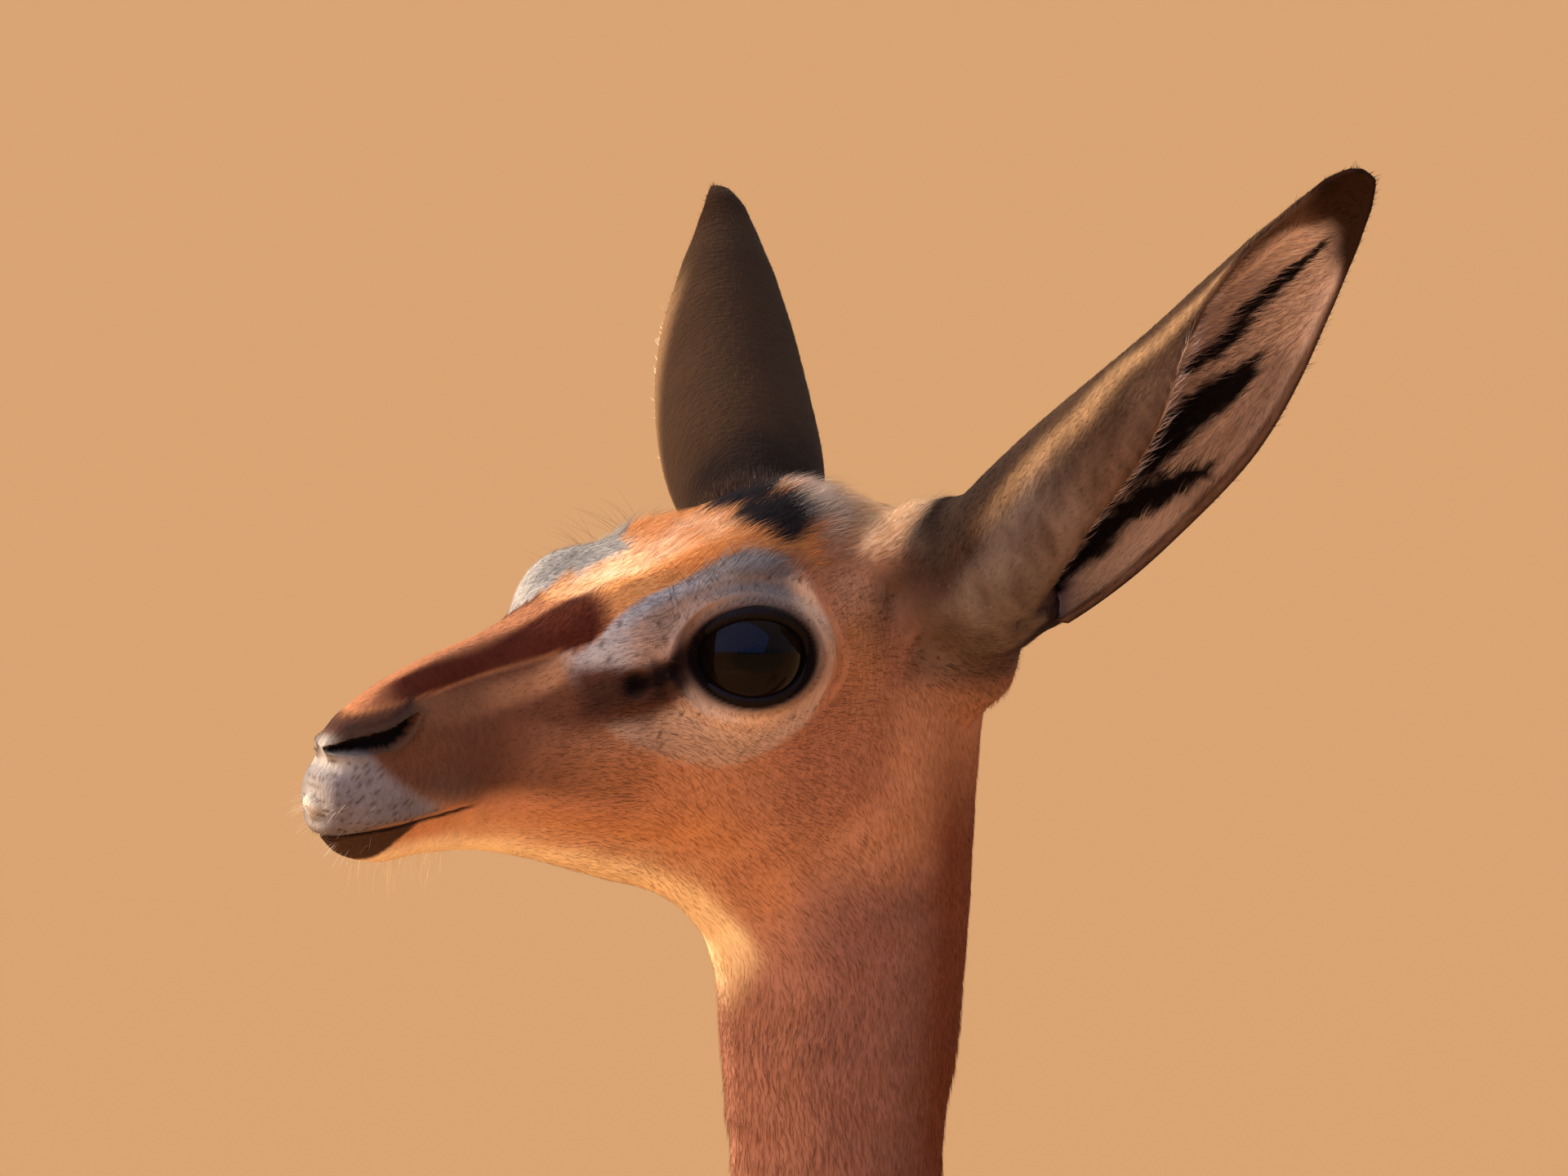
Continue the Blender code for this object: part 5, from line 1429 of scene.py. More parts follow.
def tuft_mesh(name, line, across, wide, colour, uv, tone):
    """Tapered three-sided hairs along lines of points, as one mesh of closed bodies."""
    count, rings = line.shape[0], line.shape[1] - 1
    way = unit((line[:, 1] - line[:, 0]))
    up = unit(np.cross(across, way))
    taper = np.linspace(1, 0.55, rings) if rings > 1 else np.ones(1)
    taper = taper * (1 - 0.25 * np.linspace(0, 1, rings) ** 2)
    verts = np.empty((count, rings * 3 + 1, 3))
    for k in range(3):
        angle = 2 * math.pi * k / 3 + math.pi / 6
        off = across * math.cos(angle) + up * (0.6 * math.sin(angle))
        for ring in range(rings):
            verts[:, ring * 3 + k] = line[:, ring] + off * (wide * 0.5 * taper[ring])[:, None]
    verts[:, -1] = line[:, -1]
    faces = [(0, 2, 1)]
    for ring in range(rings - 1):
        for k in range(3):
            a, b = ring * 3 + k, ring * 3 + (k + 1) % 3
            faces += [(a, b, b + 3), (a, b + 3, a + 3)]
    last = (rings - 1) * 3
    faces += [(last + k, last + (k + 1) % 3, rings * 3) for k in range(3)]
    faces = np.array(faces)
    size = rings * 3 + 1
    index = (faces[None] + (np.arange(count) * size)[:, None, None]).reshape(-1, 3)
    mesh = bpy.data.meshes.new(name)
    mesh.vertices.add(count * size)
    mesh.vertices.foreach_set("co", verts.astype(np.float32).ravel())
    mesh.loops.add(len(index) * 3)
    mesh.loops.foreach_set("vertex_index", index.astype(np.int32).ravel())
    mesh.polygons.add(len(index))
    mesh.polygons.foreach_set("loop_start", np.arange(len(index), dtype=np.int32) * 3)
    mesh.update(calc_edges=True)
    paint = mesh.color_attributes.new("paint", "FLOAT_COLOR", "POINT")
    share = np.append(np.repeat(np.arange(rings) / rings, 3), 1.0)
    shade = 1 + tone * (share[None, :] - 0.35)
    rgba = np.ones((count, size, 4))
    rgba[:, :, :3] = np.clip(colour[:, None, :] * shade[:, :, None], 0, 1)
    paint.data.foreach_set("color", rgba.astype(np.float32).ravel())
    patch = np.empty((count, size, 2))
    for k in range(3):
        angle = 2 * math.pi * k / 3
        spread = 0.0015 * (1 - 0.8 * np.arange(rings) / rings)
        patch[:, k : rings * 3 : 3, 0] = uv[:, None, 0] + math.cos(angle) * spread
        patch[:, k : rings * 3 : 3, 1] = uv[:, None, 1] + math.sin(angle) * spread
    patch[:, -1] = uv
    layer = mesh.uv_layers.new(name="OFBake")
    layer.data.foreach_set("uv", patch.reshape(-1, 2)[index.ravel()].astype(np.float32).ravel())
    mesh.shade_smooth()
    thing = bpy.data.objects.new(name, mesh)
    bpy.context.scene.collection.objects.link(thing)
    return thing


def short_coat(skin, material):
    """All the short fur, shared among pieces that each hold part of it."""
    root, facing, uv = coat_places(skin)
    ear = ear_mask(root, facing)
    dense, long, wide, stand = coat_sizes(root, facing, ear)
    way = lie_of_coat(root, facing, ear)
    colour = markings(root, facing)
    draw = np.random.default_rng(SEED + 1)
    count = len(root)
    across = np.cross(facing, way)
    turned = draw.normal(0, 0.17, count)
    way = unit(way + across * turned[:, None])
    across = unit(np.cross(facing, way))
    long = long * draw.uniform(0.65, 1.25, count)
    stand = stand * draw.uniform(0.5, 1.6, count)
    wide = wide * draw.uniform(0.8, 1.2, count)
    z = straightened(root)[:, 2]
    bright = np.exp(draw.normal(0, 0.13, count) * (1 - 0.4 * ramp(z, 1.10, 0.95)))
    warm = draw.normal(0, 0.03, count)
    colour = colour * bright[:, None] * (1 + np.outer(warm, np.array((1.0, 0.0, -1.0))))
    start = root - facing * 0.0003
    mid = start + way * (long * 0.5)[:, None] + facing * (long * stand * 0.75 + 0.0002)[:, None]
    tip = start + way * long[:, None] + facing * (long * stand)[:, None]
    line = np.stack((start, mid, tip), 1)
    order = draw.permutation(count)
    pieces = []
    on_ear, curved = ear[0] > 0.5, long > 0.0058
    zones = {
        "coat_ears_inside": on_ear & curved,
        "coat_ears_outside": on_ear & ~curved,
        "coat_crown": ~on_ear & (z > 1.20) & curved,
        "coat_head": ~on_ear & (z > 1.20) & ~curved,
        "coat_neck": ~on_ear & (z <= 1.20) & (z > 0.97),
        "coat_trunk": ~on_ear & (z <= 0.97) & (z > 0.55),
        "coat_legs": ~on_ear & (z <= 0.55),
    }
    for zone, mask in zones.items():
        chosen = order[mask[order]]
        bent = zone in ("coat_ears_inside", "coat_crown")
        points = line if bent else line[:, (0, 2)]
        number = max(1, math.ceil(len(chosen) / (19500 if bent else 48000)))
        for k, some in enumerate(np.array_split(chosen, number)):
            thing = tuft_mesh(
                f"{zone}_{k + 1}", points[some], across[some], wide[some], colour[some], uv[some],
                np.full((len(some), 1), 0.30),
            )
            thing.data.materials.append(material)
            pieces.append(thing)
        print("COUNT", zone, len(chosen), "tufts in", number, "pieces,", len(chosen) * (10 if bent else 4))
    return pieces


def long_hairs(name, root, way, droop, long, wide, colour, material, rings=4, spread=0.0):
    """Whiskers, lashes and tuft hairs: lines that start along the way and droop."""
    s = np.linspace(0, 1, rings + 1)
    line = (
        root[:, None]
        + way[:, None] * (long[:, None] * s)[:, :, None]
        + droop[:, None] * (long[:, None] * s**2)[:, :, None]
    )
    side = unit(np.cross(way, np.tile(np.array((0.31, 0.17, 0.93)), (len(root), 1))))
    uv = 0.1 + 0.8 * np.random.default_rng(SEED + 5).random((len(root), 2))
    thing = tuft_mesh(name, line, side, wide, colour, uv, np.full((len(root), 1), 0.2))
    thing.data.materials.append(material)
    return thing


# ---------------------------------------------------------------- materials

def group_of(name, inputs, outputs):
    """An empty node group with named float inputs and outputs of the given kinds."""
    tree = bpy.data.node_groups.new(name, "ShaderNodeTree")
    for label, value in inputs:
        socket = tree.interface.new_socket(label, in_out="INPUT", socket_type="NodeSocketFloat")
        socket.default_value = value
    for label, kind in outputs:
        tree.interface.new_socket(label, in_out="OUTPUT", socket_type=kind)
    return tree, tree.nodes.new("NodeGroupInput"), tree.nodes.new("NodeGroupOutput")


def add(tree, kind, **settings):
    node = tree.nodes.new(kind)
    for key, value in settings.items():
        if key in node.inputs and not hasattr(node, key):
            node.inputs[key].default_value = value
        else:
            setattr(node, key, value)
    return node


def fur_grain():
    """Fine hair streaks: a tone about 1 and a height, from noise in the object's space."""
    tree, given, out = group_of(
        "Fur grain",
        (("Hairs per metre", 900.0), ("Tone strength", 0.3), ("Patch size", 60.0)),
        (("Tone", "NodeSocketFloat"), ("Height", "NodeSocketFloat")),
    )
    place_in = add(tree, "ShaderNodeTexCoord")
    stretch = add(tree, "ShaderNodeMapping")
    stretch.inputs["Scale"].default_value = (0.45, 1.0, 0.35)
    stretch.inputs["Rotation"].default_value = (0.0, 0.35, 0.0)
    fine = add(tree, "ShaderNodeTexNoise")
    fine.inputs["Detail"].default_value = 2.0
    broad = add(tree, "ShaderNodeTexNoise")
    broad.inputs["Detail"].default_value = 3.0
    link = tree.links.new
    link(place_in.outputs["Object"], stretch.inputs["Vector"])
    link(stretch.outputs["Vector"], fine.inputs["Vector"])
    link(given.outputs["Hairs per metre"], fine.inputs["Scale"])
    link(place_in.outputs["Object"], broad.inputs["Vector"])
    link(given.outputs["Patch size"], broad.inputs["Scale"])
    both = add(tree, "ShaderNodeMath", operation="ADD")
    link(fine.outputs["Fac"], both.inputs[0])
    link(broad.outputs["Fac"], both.inputs[1])
    middle = add(tree, "ShaderNodeMath", operation="SUBTRACT")
    link(both.outputs[0], middle.inputs[0])
    middle.inputs[1].default_value = 1.0
    tone = add(tree, "ShaderNodeMath", operation="MULTIPLY_ADD")
    link(middle.outputs[0], tone.inputs[0])
    link(given.outputs["Tone strength"], tone.inputs[1])
    tone.inputs[2].default_value = 1.0
    link(tone.outputs[0], out.inputs["Tone"])
    link(fine.outputs["Fac"], out.inputs["Height"])
    return tree


def horn_grain():
    """Growth rings and fine fibres of horn: a height and a wear mask."""
    tree, given, out = group_of(
        "Horn grain",
        (("Rings per metre", 260.0), ("Fibres per metre", 700.0)),
        (("Height", "NodeSocketFloat"), ("Wear", "NodeSocketFloat")),
    )
    place_in = add(tree, "ShaderNodeTexCoord")
    rings = add(tree, "ShaderNodeTexWave", wave_type="BANDS", bands_direction="Z")
    rings.inputs["Distortion"].default_value = 2.5
    rings.inputs["Detail"].default_value = 2.0
    stretch = add(tree, "ShaderNodeMapping")
    stretch.inputs["Scale"].default_value = (1.0, 1.0, 0.12)
    fibres = add(tree, "ShaderNodeTexNoise")
    fibres.inputs["Detail"].default_value = 3.0
    apart = add(tree, "ShaderNodeSeparateXYZ")
    low = add(tree, "ShaderNodeMapRange", clamp=True)
    low.inputs["From Min"].default_value = 0.012
    low.inputs["From Max"].default_value = 0.0
    both = add(tree, "ShaderNodeMath", operation="MULTIPLY_ADD")
    both.inputs[1].default_value = 0.6
    wear = add(tree, "ShaderNodeMath", operation="MULTIPLY")
    link = tree.links.new
    link(place_in.outputs["Object"], rings.inputs["Vector"])
    link(given.outputs["Rings per metre"], rings.inputs["Scale"])
    link(place_in.outputs["Object"], stretch.inputs["Vector"])
    link(stretch.outputs["Vector"], fibres.inputs["Vector"])
    link(given.outputs["Fibres per metre"], fibres.inputs["Scale"])
    link(place_in.outputs["Object"], apart.inputs["Vector"])
    link(apart.outputs["Z"], low.inputs["Value"])
    link(rings.outputs["Fac"], both.inputs[0])
    link(fibres.outputs["Fac"], both.inputs[2])
    link(both.outputs[0], out.inputs["Height"])
    link(low.outputs["Result"], wear.inputs[0])
    link(fibres.outputs["Fac"], wear.inputs[1])
    link(wear.outputs[0], out.inputs["Wear"])
    return tree


def material_of(name, **values):
    made = bpy.data.materials.new(name)
    made.use_nodes = True
    shader = made.node_tree.nodes["Principled BSDF"]
    for label, value in values.items():
        shader.inputs[label.replace("_", " ")].default_value = value
    return made, made.node_tree, shader


def furred(name, grain, hairs, tone, bump, roughness, sheen):
    """A coat material: the painted markings, toned and raised by the fur grain."""
    made, tree, shader = material_of(
        name, Roughness=roughness, Sheen_Weight=sheen, Sheen_Roughness=0.4, Specular_IOR_Level=0.06
    )
    paint = add(tree, "ShaderNodeAttribute", attribute_name="paint")
    fur = add(tree, "ShaderNodeGroup", node_tree=grain)
    fur.inputs["Hairs per metre"].default_value = hairs
    fur.inputs["Tone strength"].default_value = tone
    toned = add(tree, "ShaderNodeVectorMath", operation="SCALE")
    link = tree.links.new
    link(paint.outputs["Color"], toned.inputs[0])
    link(fur.outputs["Tone"], toned.inputs["Scale"])
    link(toned.outputs["Vector"], shader.inputs["Base Color"])
    if bump:
        raised = add(tree, "ShaderNodeBump")
        raised.inputs["Strength"].default_value = bump
        raised.inputs["Distance"].default_value = 0.0006
        link(fur.outputs["Height"], raised.inputs["Height"])
        link(raised.outputs["Normal"], shader.inputs["Normal"])
    return made


def horn(name, grain, colour, worn):
    made, tree, shader = material_of(name, Roughness=0.42, Specular_IOR_Level=0.4)
    grained = add(tree, "ShaderNodeGroup", node_tree=grain)
    raised = add(tree, "ShaderNodeBump")
    raised.inputs["Strength"].default_value = 0.35
    raised.inputs["Distance"].default_value = 0.0004
    blend = add(tree, "ShaderNodeMix", data_type="RGBA")
    blend.inputs["A"].default_value = (*colour, 1)
    blend.inputs["B"].default_value = (*worn, 1)
    rough = add(tree, "ShaderNodeMapRange")
    rough.inputs["To Min"].default_value = 0.38
    rough.inputs["To Max"].default_value = 0.8
    link = tree.links.new
    link(grained.outputs["Height"], raised.inputs["Height"])
    link(raised.outputs["Normal"], shader.inputs["Normal"])
    link(grained.outputs["Wear"], blend.inputs["Factor"])
    link(blend.outputs["Result"], shader.inputs["Base Color"])
    link(grained.outputs["Wear"], rough.inputs["Value"])
    link(rough.outputs["Result"], shader.inputs["Roughness"])
    return made


def wet_eye():
    """Dark brown iris and black pupil under a wet surface, from the painted attribute."""
    made, tree, shader = material_of(
        "wet_eye", Roughness=0.03, Specular_IOR_Level=0.19, IOR=1.376
    )
    paint = add(tree, "ShaderNodeAttribute", attribute_name="paint")
    place_in = add(tree, "ShaderNodeTexCoord")
    veins = add(tree, "ShaderNodeTexNoise")
    veins.inputs["Scale"].default_value = 420.0
    veins.inputs["Detail"].default_value = 3.0
    tone = add(tree, "ShaderNodeMapRange")
    tone.inputs["To Min"].default_value = 0.6
    tone.inputs["To Max"].default_value = 1.4
    toned = add(tree, "ShaderNodeVectorMath", operation="SCALE")
    link = tree.links.new
    link(place_in.outputs["Object"], veins.inputs["Vector"])
    link(veins.outputs["Fac"], tone.inputs["Value"])
    link(paint.outputs["Color"], toned.inputs[0])
    link(tone.outputs["Result"], toned.inputs["Scale"])
    link(toned.outputs["Vector"], shader.inputs["Base Color"])
    return made


def bare_lid():
    """Black bare skin of the lids, moist and finely wrinkled."""
    made, tree, shader = material_of("bare_lid", Roughness=0.38, Specular_IOR_Level=0.08)
    shader.inputs["Base Color"].default_value = (0.006, 0.004, 0.0035, 1)
    place_in = add(tree, "ShaderNodeTexCoord")
    wrinkles = add(tree, "ShaderNodeTexNoise")
    wrinkles.inputs["Scale"].default_value = 900.0
    rough = add(tree, "ShaderNodeMapRange")
    rough.inputs["To Min"].default_value = 0.28
    rough.inputs["To Max"].default_value = 0.6
    raised = add(tree, "ShaderNodeBump")
    raised.inputs["Strength"].default_value = 0.5
    raised.inputs["Distance"].default_value = 0.0003
    link = tree.links.new
    link(place_in.outputs["Object"], wrinkles.inputs["Vector"])
    link(wrinkles.outputs["Fac"], rough.inputs["Value"])
    link(rough.outputs["Result"], shader.inputs["Roughness"])
    link(wrinkles.outputs["Fac"], raised.inputs["Height"])
    link(raised.outputs["Normal"], shader.inputs["Normal"])
    return made


def painted(thing, colours):
    """Stores a colour for each vertex, which the materials read."""
    layer = thing.data.color_attributes.new("paint", "FLOAT_COLOR", "POINT")
    rgba = np.ones((len(colours), 4))
    rgba[:, :3] = np.clip(colours, 0, 1)
    layer.data.foreach_set("color", rgba.astype(np.float32).ravel())


def unwrapped(thing):
    """An unwrap of the object's own shape."""
    for other in bpy.context.selected_objects:
        other.select_set(False)
    thing.data.uv_layers.new(name="OFBake")
    bpy.context.view_layer.objects.active = thing
    thing.select_set(True)
    bpy.ops.object.mode_set(mode="EDIT")
    bpy.ops.mesh.select_all(action="SELECT")
    bpy.ops.uv.smart_project(angle_limit=1.15, island_margin=0.002)
    bpy.ops.object.mode_set(mode="OBJECT")
    thing.select_set(False)


# ---------------------------------------------------------------- eyes and lids

def eye_piece(side, material):
    """A smooth eyeball with its bulging clear front, iris and level pupil painted on."""
    look, ahead, up = (np.array(v) for v in eye_axes())
    bm = bmesh.new()
    bmesh.ops.create_uvsphere(bm, u_segments=72, v_segments=48, radius=1)
    co = coordinates(bm)
    toward, a, b = co[:, 2], co[:, 0], co[:, 1]
    bulge = EYE_RADIUS * (1 + 0.018 * ramp(toward, 0.55, 0.85))
    head = np.array(EYE_CENTRE) + (
        np.outer(toward, look) + np.outer(a, ahead) + np.outer(b, up)
    ) * bulge[:, None]
    head[:, 1] *= side
    iris = np.tile(np.array((0.0045, 0.0024, 0.0016)), (len(co), 1))
    iris = mixed(iris, (0.0025, 0.0016, 0.0014), ramp(np.hypot(a, b), 0.62, 0.75))
    pupil = np.hypot(a / 0.42, b / 0.20)
    colour = mixed(iris, (0.0008, 0.0008, 0.0012), ramp(pupil, 1.15, 0.85))
    place(bm, posed(from_head(head)) + np.array(SHIFT))
    thing = piece("eyeball_left" if side > 0 else "eyeball_right", facing_out(bm), material)
    painted(thing, colour)
    return thing


def lid_piece(side, material):
    """The bare rims of both lids, drawn out to the tear corner in front."""
    look, ahead, up = (np.array(v) for v in eye_axes())
    bm, around, share = sheet(18, 144)
    angle, turn = share * 2 * math.pi, around * 2 * math.pi
    front = np.clip(np.cos(angle), 0, 1) ** 10
    a = (LID_HALF_LENGTH + 0.7) * np.cos(angle) + 5.0 * front
    b = (LID_HALF_HEIGHT + 0.9) * np.sin(angle) - 2.2 * front
    upper = ramp(np.sin(angle), -0.2, 0.6)
    thick = 0.85 + 1.0 * np.abs(np.sin(angle)) ** 1.5 + 0.15 * upper - 0.1 * front
    reach = np.sqrt(np.maximum((EYE_RADIUS + 0.45) ** 2 - np.minimum(a**2, 17.6**2) - b**2, 4.0))
    centre = np.outer(a, ahead) + np.outer(b, up) + np.outer(reach, look)
    outward = unit(np.outer(np.cos(angle), ahead) + np.outer(np.sin(angle), up))
    raised = unit(centre)
    outward = unit(outward - raised * (outward * raised).sum(1)[:, None])
    head = (
        np.array(EYE_CENTRE)
        + centre
        + outward * (thick * 1.15 * np.cos(turn))[:, None]
        + raised * (thick * (0.85 + 0.25 * upper) * np.sin(turn))[:, None]
    )
    head[:, 1] *= side
    place(bm, posed(from_head(head)) + np.array(SHIFT))
    bmesh.ops.remove_doubles(bm, verts=bm.verts, dist=1e-6)
    return piece("lids_left" if side > 0 else "lids_right", facing_out(bm), material)


# ---------------------------------------------------------------- hooves and dewclaws

def hoof_piece(leg, claw, material):
    """One claw, flat below, pointed ahead, with a rounded crown under the hair."""
    side = -1 if leg.endswith("left") else 1
    last = leg_table(leg)[-1]
    x = last[0] - STEP[leg] * (FORE_TOP - last[1]) / FORE_TOP
    bm, around, share = sheet(40, 22)
    angle = around * 2 * math.pi
    top = (CORONET_HEIGHT + 0.0010) * np.ones(len(share))
    s = np.clip(share * 1.12 - 0.06, 0, 1)
    shrink = np.sqrt(np.clip(1 - np.clip((0.06 - share) / 0.06, 0, 1) ** 2, 0.0, 1))
    shrink = shrink * (1 - 0.10 * ramp(share, 0.97, 1.0))
    deep, wide = 0.0150 + 0.0062 * s, 0.0074 + 0.0008 * s - 0.0010 * s * s
    forward = np.cos(angle)
    point = 1 - 0.45 * np.clip(forward, 0, 1) ** 3
    rings = 0.00022 * np.sin(s * 34) * (1 - s)
    co = np.column_stack(
        (
            x - 0.0085 * s - (deep * shrink + rings) * forward,
            side * (last[4] + claw * 0.0088) + (wide * shrink + rings) * point * np.sin(angle),
            top * (1 - s),
        )
    )
    place(bm, co + np.array((SHIFT[0], SHIFT[1], 0)))
    bmesh.ops.remove_doubles(bm, verts=bm.verts, dist=1e-6)
    return piece(f"claw_{leg}_{'outer' if claw > 0 else 'inner'}", capped(bm), material)


def dewclaw_piece(leg, away, material):
    side = -1 if leg.endswith("left") else 1
    fetlock = leg_table(leg)[-3]
    x = fetlock[0] - STEP[leg] * (FORE_TOP - fetlock[1]) / FORE_TOP
    bm = bmesh.new()
    bmesh.ops.create_uvsphere(bm, u_segments=28, v_segments=20, radius=0.0052)
    for v in bm.verts:
        narrow = 1.0 - 0.55 * max(-v.co.z / 0.0052, 0.0) ** 1.5
        v.co.x, v.co.y = v.co.x * narrow - 0.12 * v.co.z, v.co.y * narrow
    bmesh.ops.scale(bm, verts=bm.verts, vec=(1.0, 0.85, 1.7))
    centre = Vector((x + 0.0100, side * (fetlock[4] + away), fetlock[1] - 0.012))
    bmesh.ops.translate(bm, verts=bm.verts, vec=centre + Vector((SHIFT[0], SHIFT[1], 0)))
    where = "outer" if away > 0 else "inner"
    return piece(f"dewclaw_{leg}_{where}", facing_out(bm), material)


# ---------------------------------------------------------------- floor, light and camera

def lamp_at(name, kind, away, power, colour):
    """A lamp of the given kind, placed from the left eye and facing it."""
    eye = Vector(head_place(*EYE_CENTRE)) + SHIFT
    lamp = bpy.data.lights.new(name, kind)
    lamp.energy, lamp.color = power, colour
    thing = bpy.data.objects.new(name, lamp)
    thing.location = eye + Vector(away)
    thing.rotation_euler = (-Vector(away)).to_track_quat("-Z", "Y").to_euler()
    thing.visible_glossy = name == "sky"
    thing.visible_diffuse = not thing.visible_glossy
    thing.visible_camera = False
    bpy.context.scene.collection.objects.link(thing)
    return lamp


def stage():
    """A pale floor, a soft sky that is dimmer before the animal, and lamps."""
    made, tree, shader = material_of("pale_floor", Roughness=0.9)
    shader.inputs["Base Color"].default_value = (0.310, 0.178, 0.088, 1)
    bm = bmesh.new()
    bmesh.ops.create_grid(bm, x_segments=4, y_segments=4, size=120)
    piece("floor", bm, made, smooth=False)
    world = bpy.data.worlds.new("soft_studio")
    bpy.context.scene.world = world
    world.use_nodes = True
    tree = world.node_tree
    background = tree.nodes["Background"]
    background.inputs["Strength"].default_value = 0.80
    way = add(tree, "ShaderNodeTexCoord")
    facing = add(tree, "ShaderNodeVectorMath", operation="DOT_PRODUCT")
    facing.inputs[1].default_value = Vector((-0.45, 0.75, 0.45)).normalized()
    share = add(tree, "ShaderNodeMapRange")
    share.inputs["From Min"].default_value, share.inputs["From Max"].default_value = -0.7, 0.9
    blend = add(tree, "ShaderNodeMix", data_type="RGBA")
    blend.inputs["A"].default_value = (0.32, 0.36, 0.50, 1)
    blend.inputs["B"].default_value = (1.20, 1.05, 0.85, 1)
    link = tree.links.new
    link(way.outputs["Generated"], facing.inputs[0])
    link(facing.outputs["Value"], share.inputs["Value"])
    link(share.outputs["Result"], blend.inputs["Factor"])
    link(blend.outputs["Result"], background.inputs["Color"])
    sun = lamp_at("key", "SUN", (-3.2, 2.4, 2.2), 10.0, (1.0, 0.84, 0.62))
    sun.angle = 0.26
    for name, away, size, power, colour in (
        ("fill", (-1.6, -2.2, 3.6), 3.8, 98.0, (0.72, 0.85, 1.0)),
        ("low", (-1.2, -2.1, -1.05), 2.2, 78.0, (1.0, 0.62, 0.34)),
    ):
        lamp = lamp_at(name, "AREA", away, power, colour)
        lamp.shape, lamp.size = "DISK", size
    sky = lamp_at("sky", "AREA", (-1.47, -2.88, 2.18), 330.0, (0.08, 0.28, 1.0))
    sky.shape, sky.size, sky.size_y = "RECTANGLE", 14.7, 4.5
    bpy.context.scene.view_settings.view_transform = "Standard"


def photograph_camera():
    """The photograph's view: level with the head, seen from its left through a long lens."""
    target = head_place(1.0, 26.5, 0.0) + SHIFT + Vector((0.0096, 0, 0.0199))
    down = math.radians(4)
    lens = bpy.data.cameras.new("camera")
    lens.lens, lens.sensor_width = 468.75, 36.0
    lens.clip_start, lens.clip_end = 0.1, 400
    camera = bpy.data.objects.new("camera", lens)
    camera.location = target + Vector((0, -math.cos(down), math.sin(down))) * 6.0
    camera.rotation_euler = (target - camera.location).to_track_quat("-Z", "Y").to_euler()
    bpy.context.scene.collection.objects.link(camera)
    bpy.context.scene.camera = camera


# ---------------------------------------------------------------- the animal

def whiskers(skin, material):
    """Pale whiskers on lips and chin and long dark lashes on both brows."""
    co, normal = vertex_arrays(skin.data)
    head = to_head(straightened(co))
    rise, mouth = mouth_gap(head)
    draw = np.random.default_rng(SEED + 2)

    def some(mask, count):
        return draw.choice(np.flatnonzero(mask), count, replace=False)

    lips = some((head[:, 0] > 112) & (np.abs(rise) < 14) & (np.abs(rise) > 2) & (head[:, 2] < -32), 90)
    chin = some((head[:, 0] > 84) & (rise < -9) & (head[:, 0] < 124), 70)
    a, b, reach = eye_share(head)
    brow = some((reach > 1.5) & (reach < 2.3) & (b > 0.75) & (a > 0.1) & (a < 2.2), 60)
    lash = some((reach > 1.12) & (reach < 1.22) & (b > 0.25), 110)
    down = np.array((0.0, 0.0, -1.0))
    pieces = []
    for name, chosen, long, wide, colour, lean in (
        ("whiskers_lips", lips, (0.003, 0.008), 0.00010, WHITE, (-0.7, 0, -0.2)),
        ("whiskers_chin", chin, (0.005, 0.012), 0.00010, CREAM, (-0.2, 0, -1.0)),
        ("brow_hairs", brow, (0.014, 0.028), 0.00012, EAR_BAND, (-0.65, 0, 0.75)),
        ("lashes", lash, (0.003, 0.006), 0.00016, EAR_TIP, (-0.2, 0, -0.1)),
    ):
        count = len(chosen)
        way = unit(normal[chosen] * 0.8 + np.array(lean) + draw.normal(0, 0.22, (count, 3)))
        length = draw.uniform(*long, count)
        tint = np.tile(np.array(colour), (count, 1)) * np.exp(draw.normal(0, 0.2, count))[:, None]
        droop = np.tile(down * 0.25, (count, 1))
        root = co[chosen] - normal[chosen] * 0.0004
        pieces.append(
            long_hairs(name, root, way, droop, length, np.full(count, wide), tint, material)
        )
    return pieces


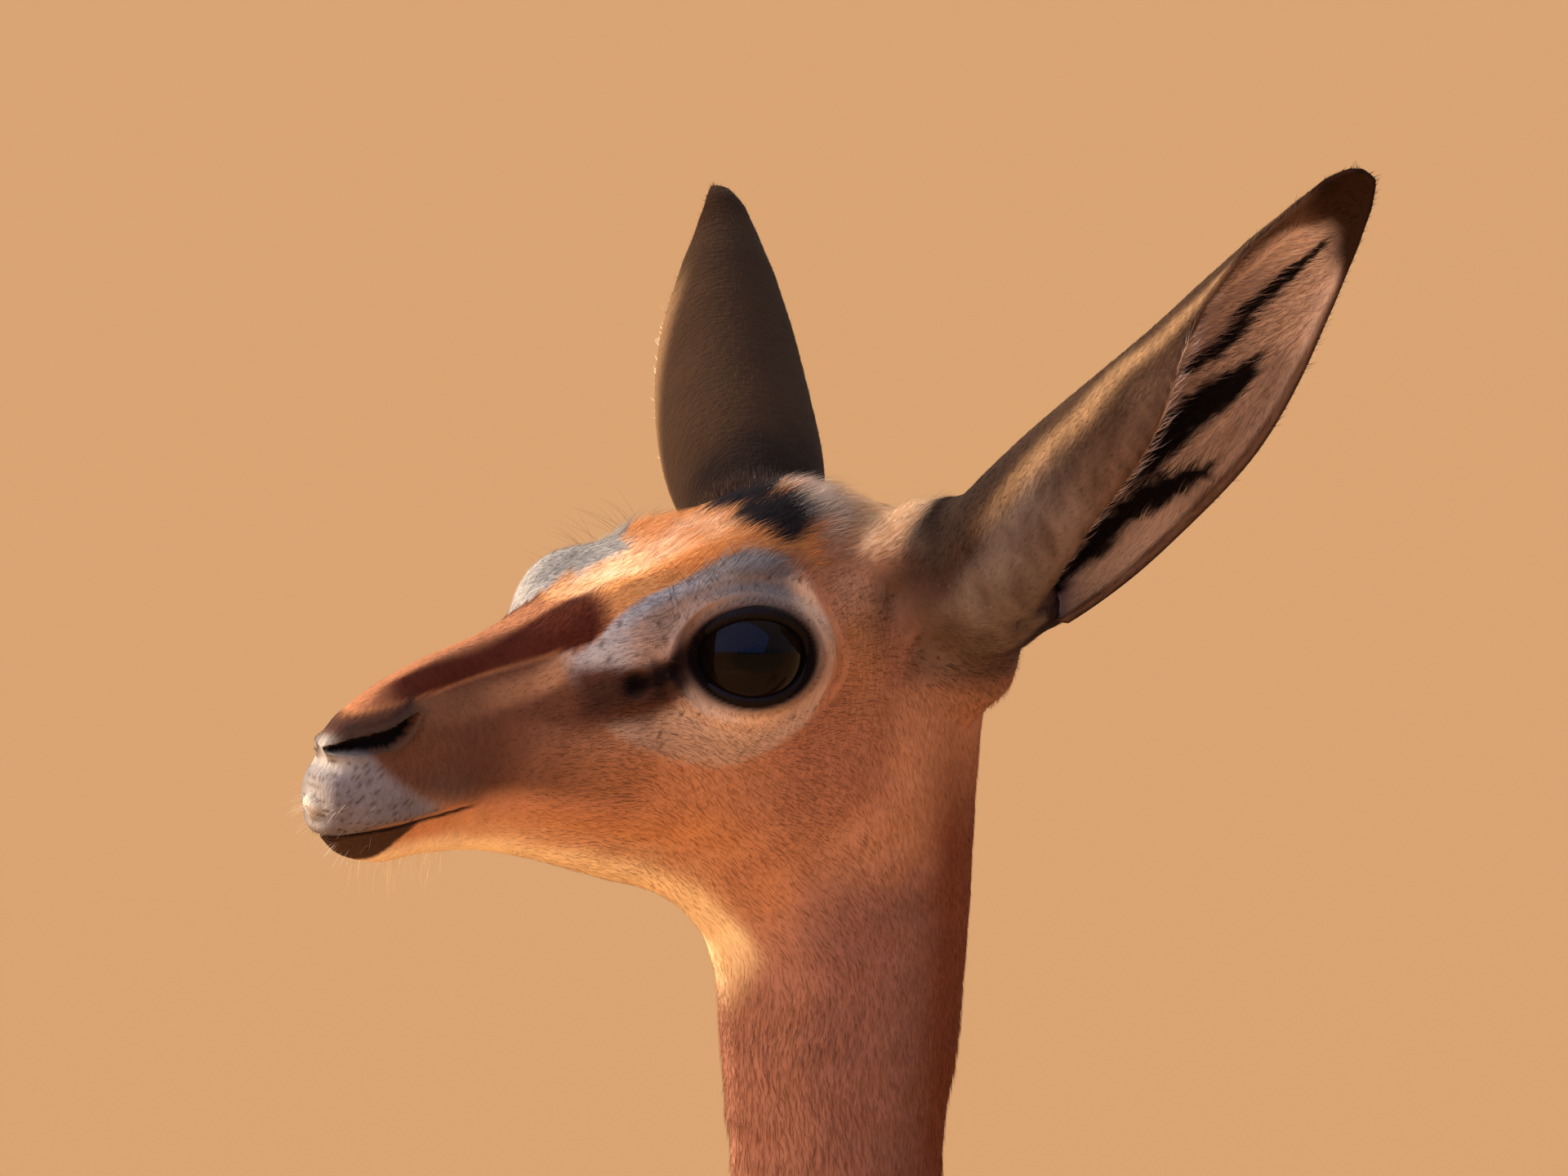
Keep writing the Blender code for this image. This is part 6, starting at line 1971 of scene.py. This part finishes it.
def tail_tuft(material):
    """The black tuft at the end of the tail, hair by hair."""
    draw = np.random.default_rng(SEED + 3)
    count = 2600
    share = draw.random(count) ** 0.8
    z = TUFT_TOP + 0.030 - 0.085 * share
    x = np.interp(z, [row[1] for row in TAIL][::-1], [row[0] for row in TAIL][::-1])
    angle = draw.uniform(0, 2 * math.pi, count)
    out = np.column_stack((np.cos(angle), np.sin(angle), np.zeros(count)))
    radius = 0.0062 * np.sqrt(draw.random(count))
    root = np.column_stack((x, np.zeros(count), z)) + out * radius[:, None] + np.array((SHIFT[0], SHIFT[1], 0))
    way = unit(out * (0.16 + 0.10 * draw.random(count))[:, None] + np.array((-0.03, 0, -1.0)))
    long = 0.060 * (0.6 + 0.6 * draw.random(count)) * np.clip((z - 0.548) / 0.10, 0.45, 1.1)
    droop = -out * 0.12 + np.array((0, 0, -0.03))
    colour = np.tile(np.array(TAIL_BLACK), (count, 1)) * np.exp(draw.normal(0, 0.35, count))[:, None]
    return long_hairs(
        "tail_tuft", root, way, droop, long, np.full(count, 0.0011), colour, material, rings=5
    )


def animal():
    grain, horn_texture = fur_grain(), horn_grain()
    skin_finish = furred("fur_base", grain, 900.0, 0.40, 0.8, 0.85, 0.01)
    coat_finish = furred("fur_tufts", grain, 300.0, 0.25, 0.0, 0.60, 0.015)
    hair_finish = furred("long_hair", grain, 200.0, 0.30, 0.0, 0.50, 0.01)
    hoof_finish = horn("hoof_horn", horn_texture, (0.018, 0.014, 0.012), (0.075, 0.060, 0.048))
    eye_finish, lid_finish = wet_eye(), bare_lid()

    skin = whole_skin()
    skin.data.materials.clear()
    skin.data.materials.append(skin_finish)
    co, normal = vertex_arrays(skin.data)
    painted(skin, markings(co, normal))
    unwrapped(skin)
    print("skin", len(skin.data.vertices), "vertices")

    flesh = [
        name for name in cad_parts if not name.startswith(("eye_", "hoof_"))
    ]
    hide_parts(*flesh)
    pieces = [(skin, "coat")]
    for side, name in ((1, "eye_left"), (-1, "eye_right")):
        ball = eye_piece(side, eye_finish)
        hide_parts(name)
        pieces += [(ball, "eyes"), (lid_piece(side, lid_finish), "eyes")]
    for leg in STEP:
        for claw in (-1, 1):
            hoof = hoof_piece(leg, claw, hoof_finish)
            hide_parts(f"hoof_{leg}_{'outer' if claw > 0 else 'inner'}")
            pieces.append((hoof, "hooves"))
        for away in (-0.0085, 0.0085):
            pieces.append((dewclaw_piece(leg, away, hoof_finish), "hooves"))
    pieces.append((tail_tuft(hair_finish), "tail"))
    pieces += [(thing, "coat") for thing in whiskers(skin, hair_finish)]
    pieces += [(thing, "coat") for thing in short_coat(skin, coat_finish)]
    for thing, slot in pieces:
        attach(thing, "root")


photograph_camera()
stage()
animal()


def corners(box):
    return [list(corner) for corner in box]
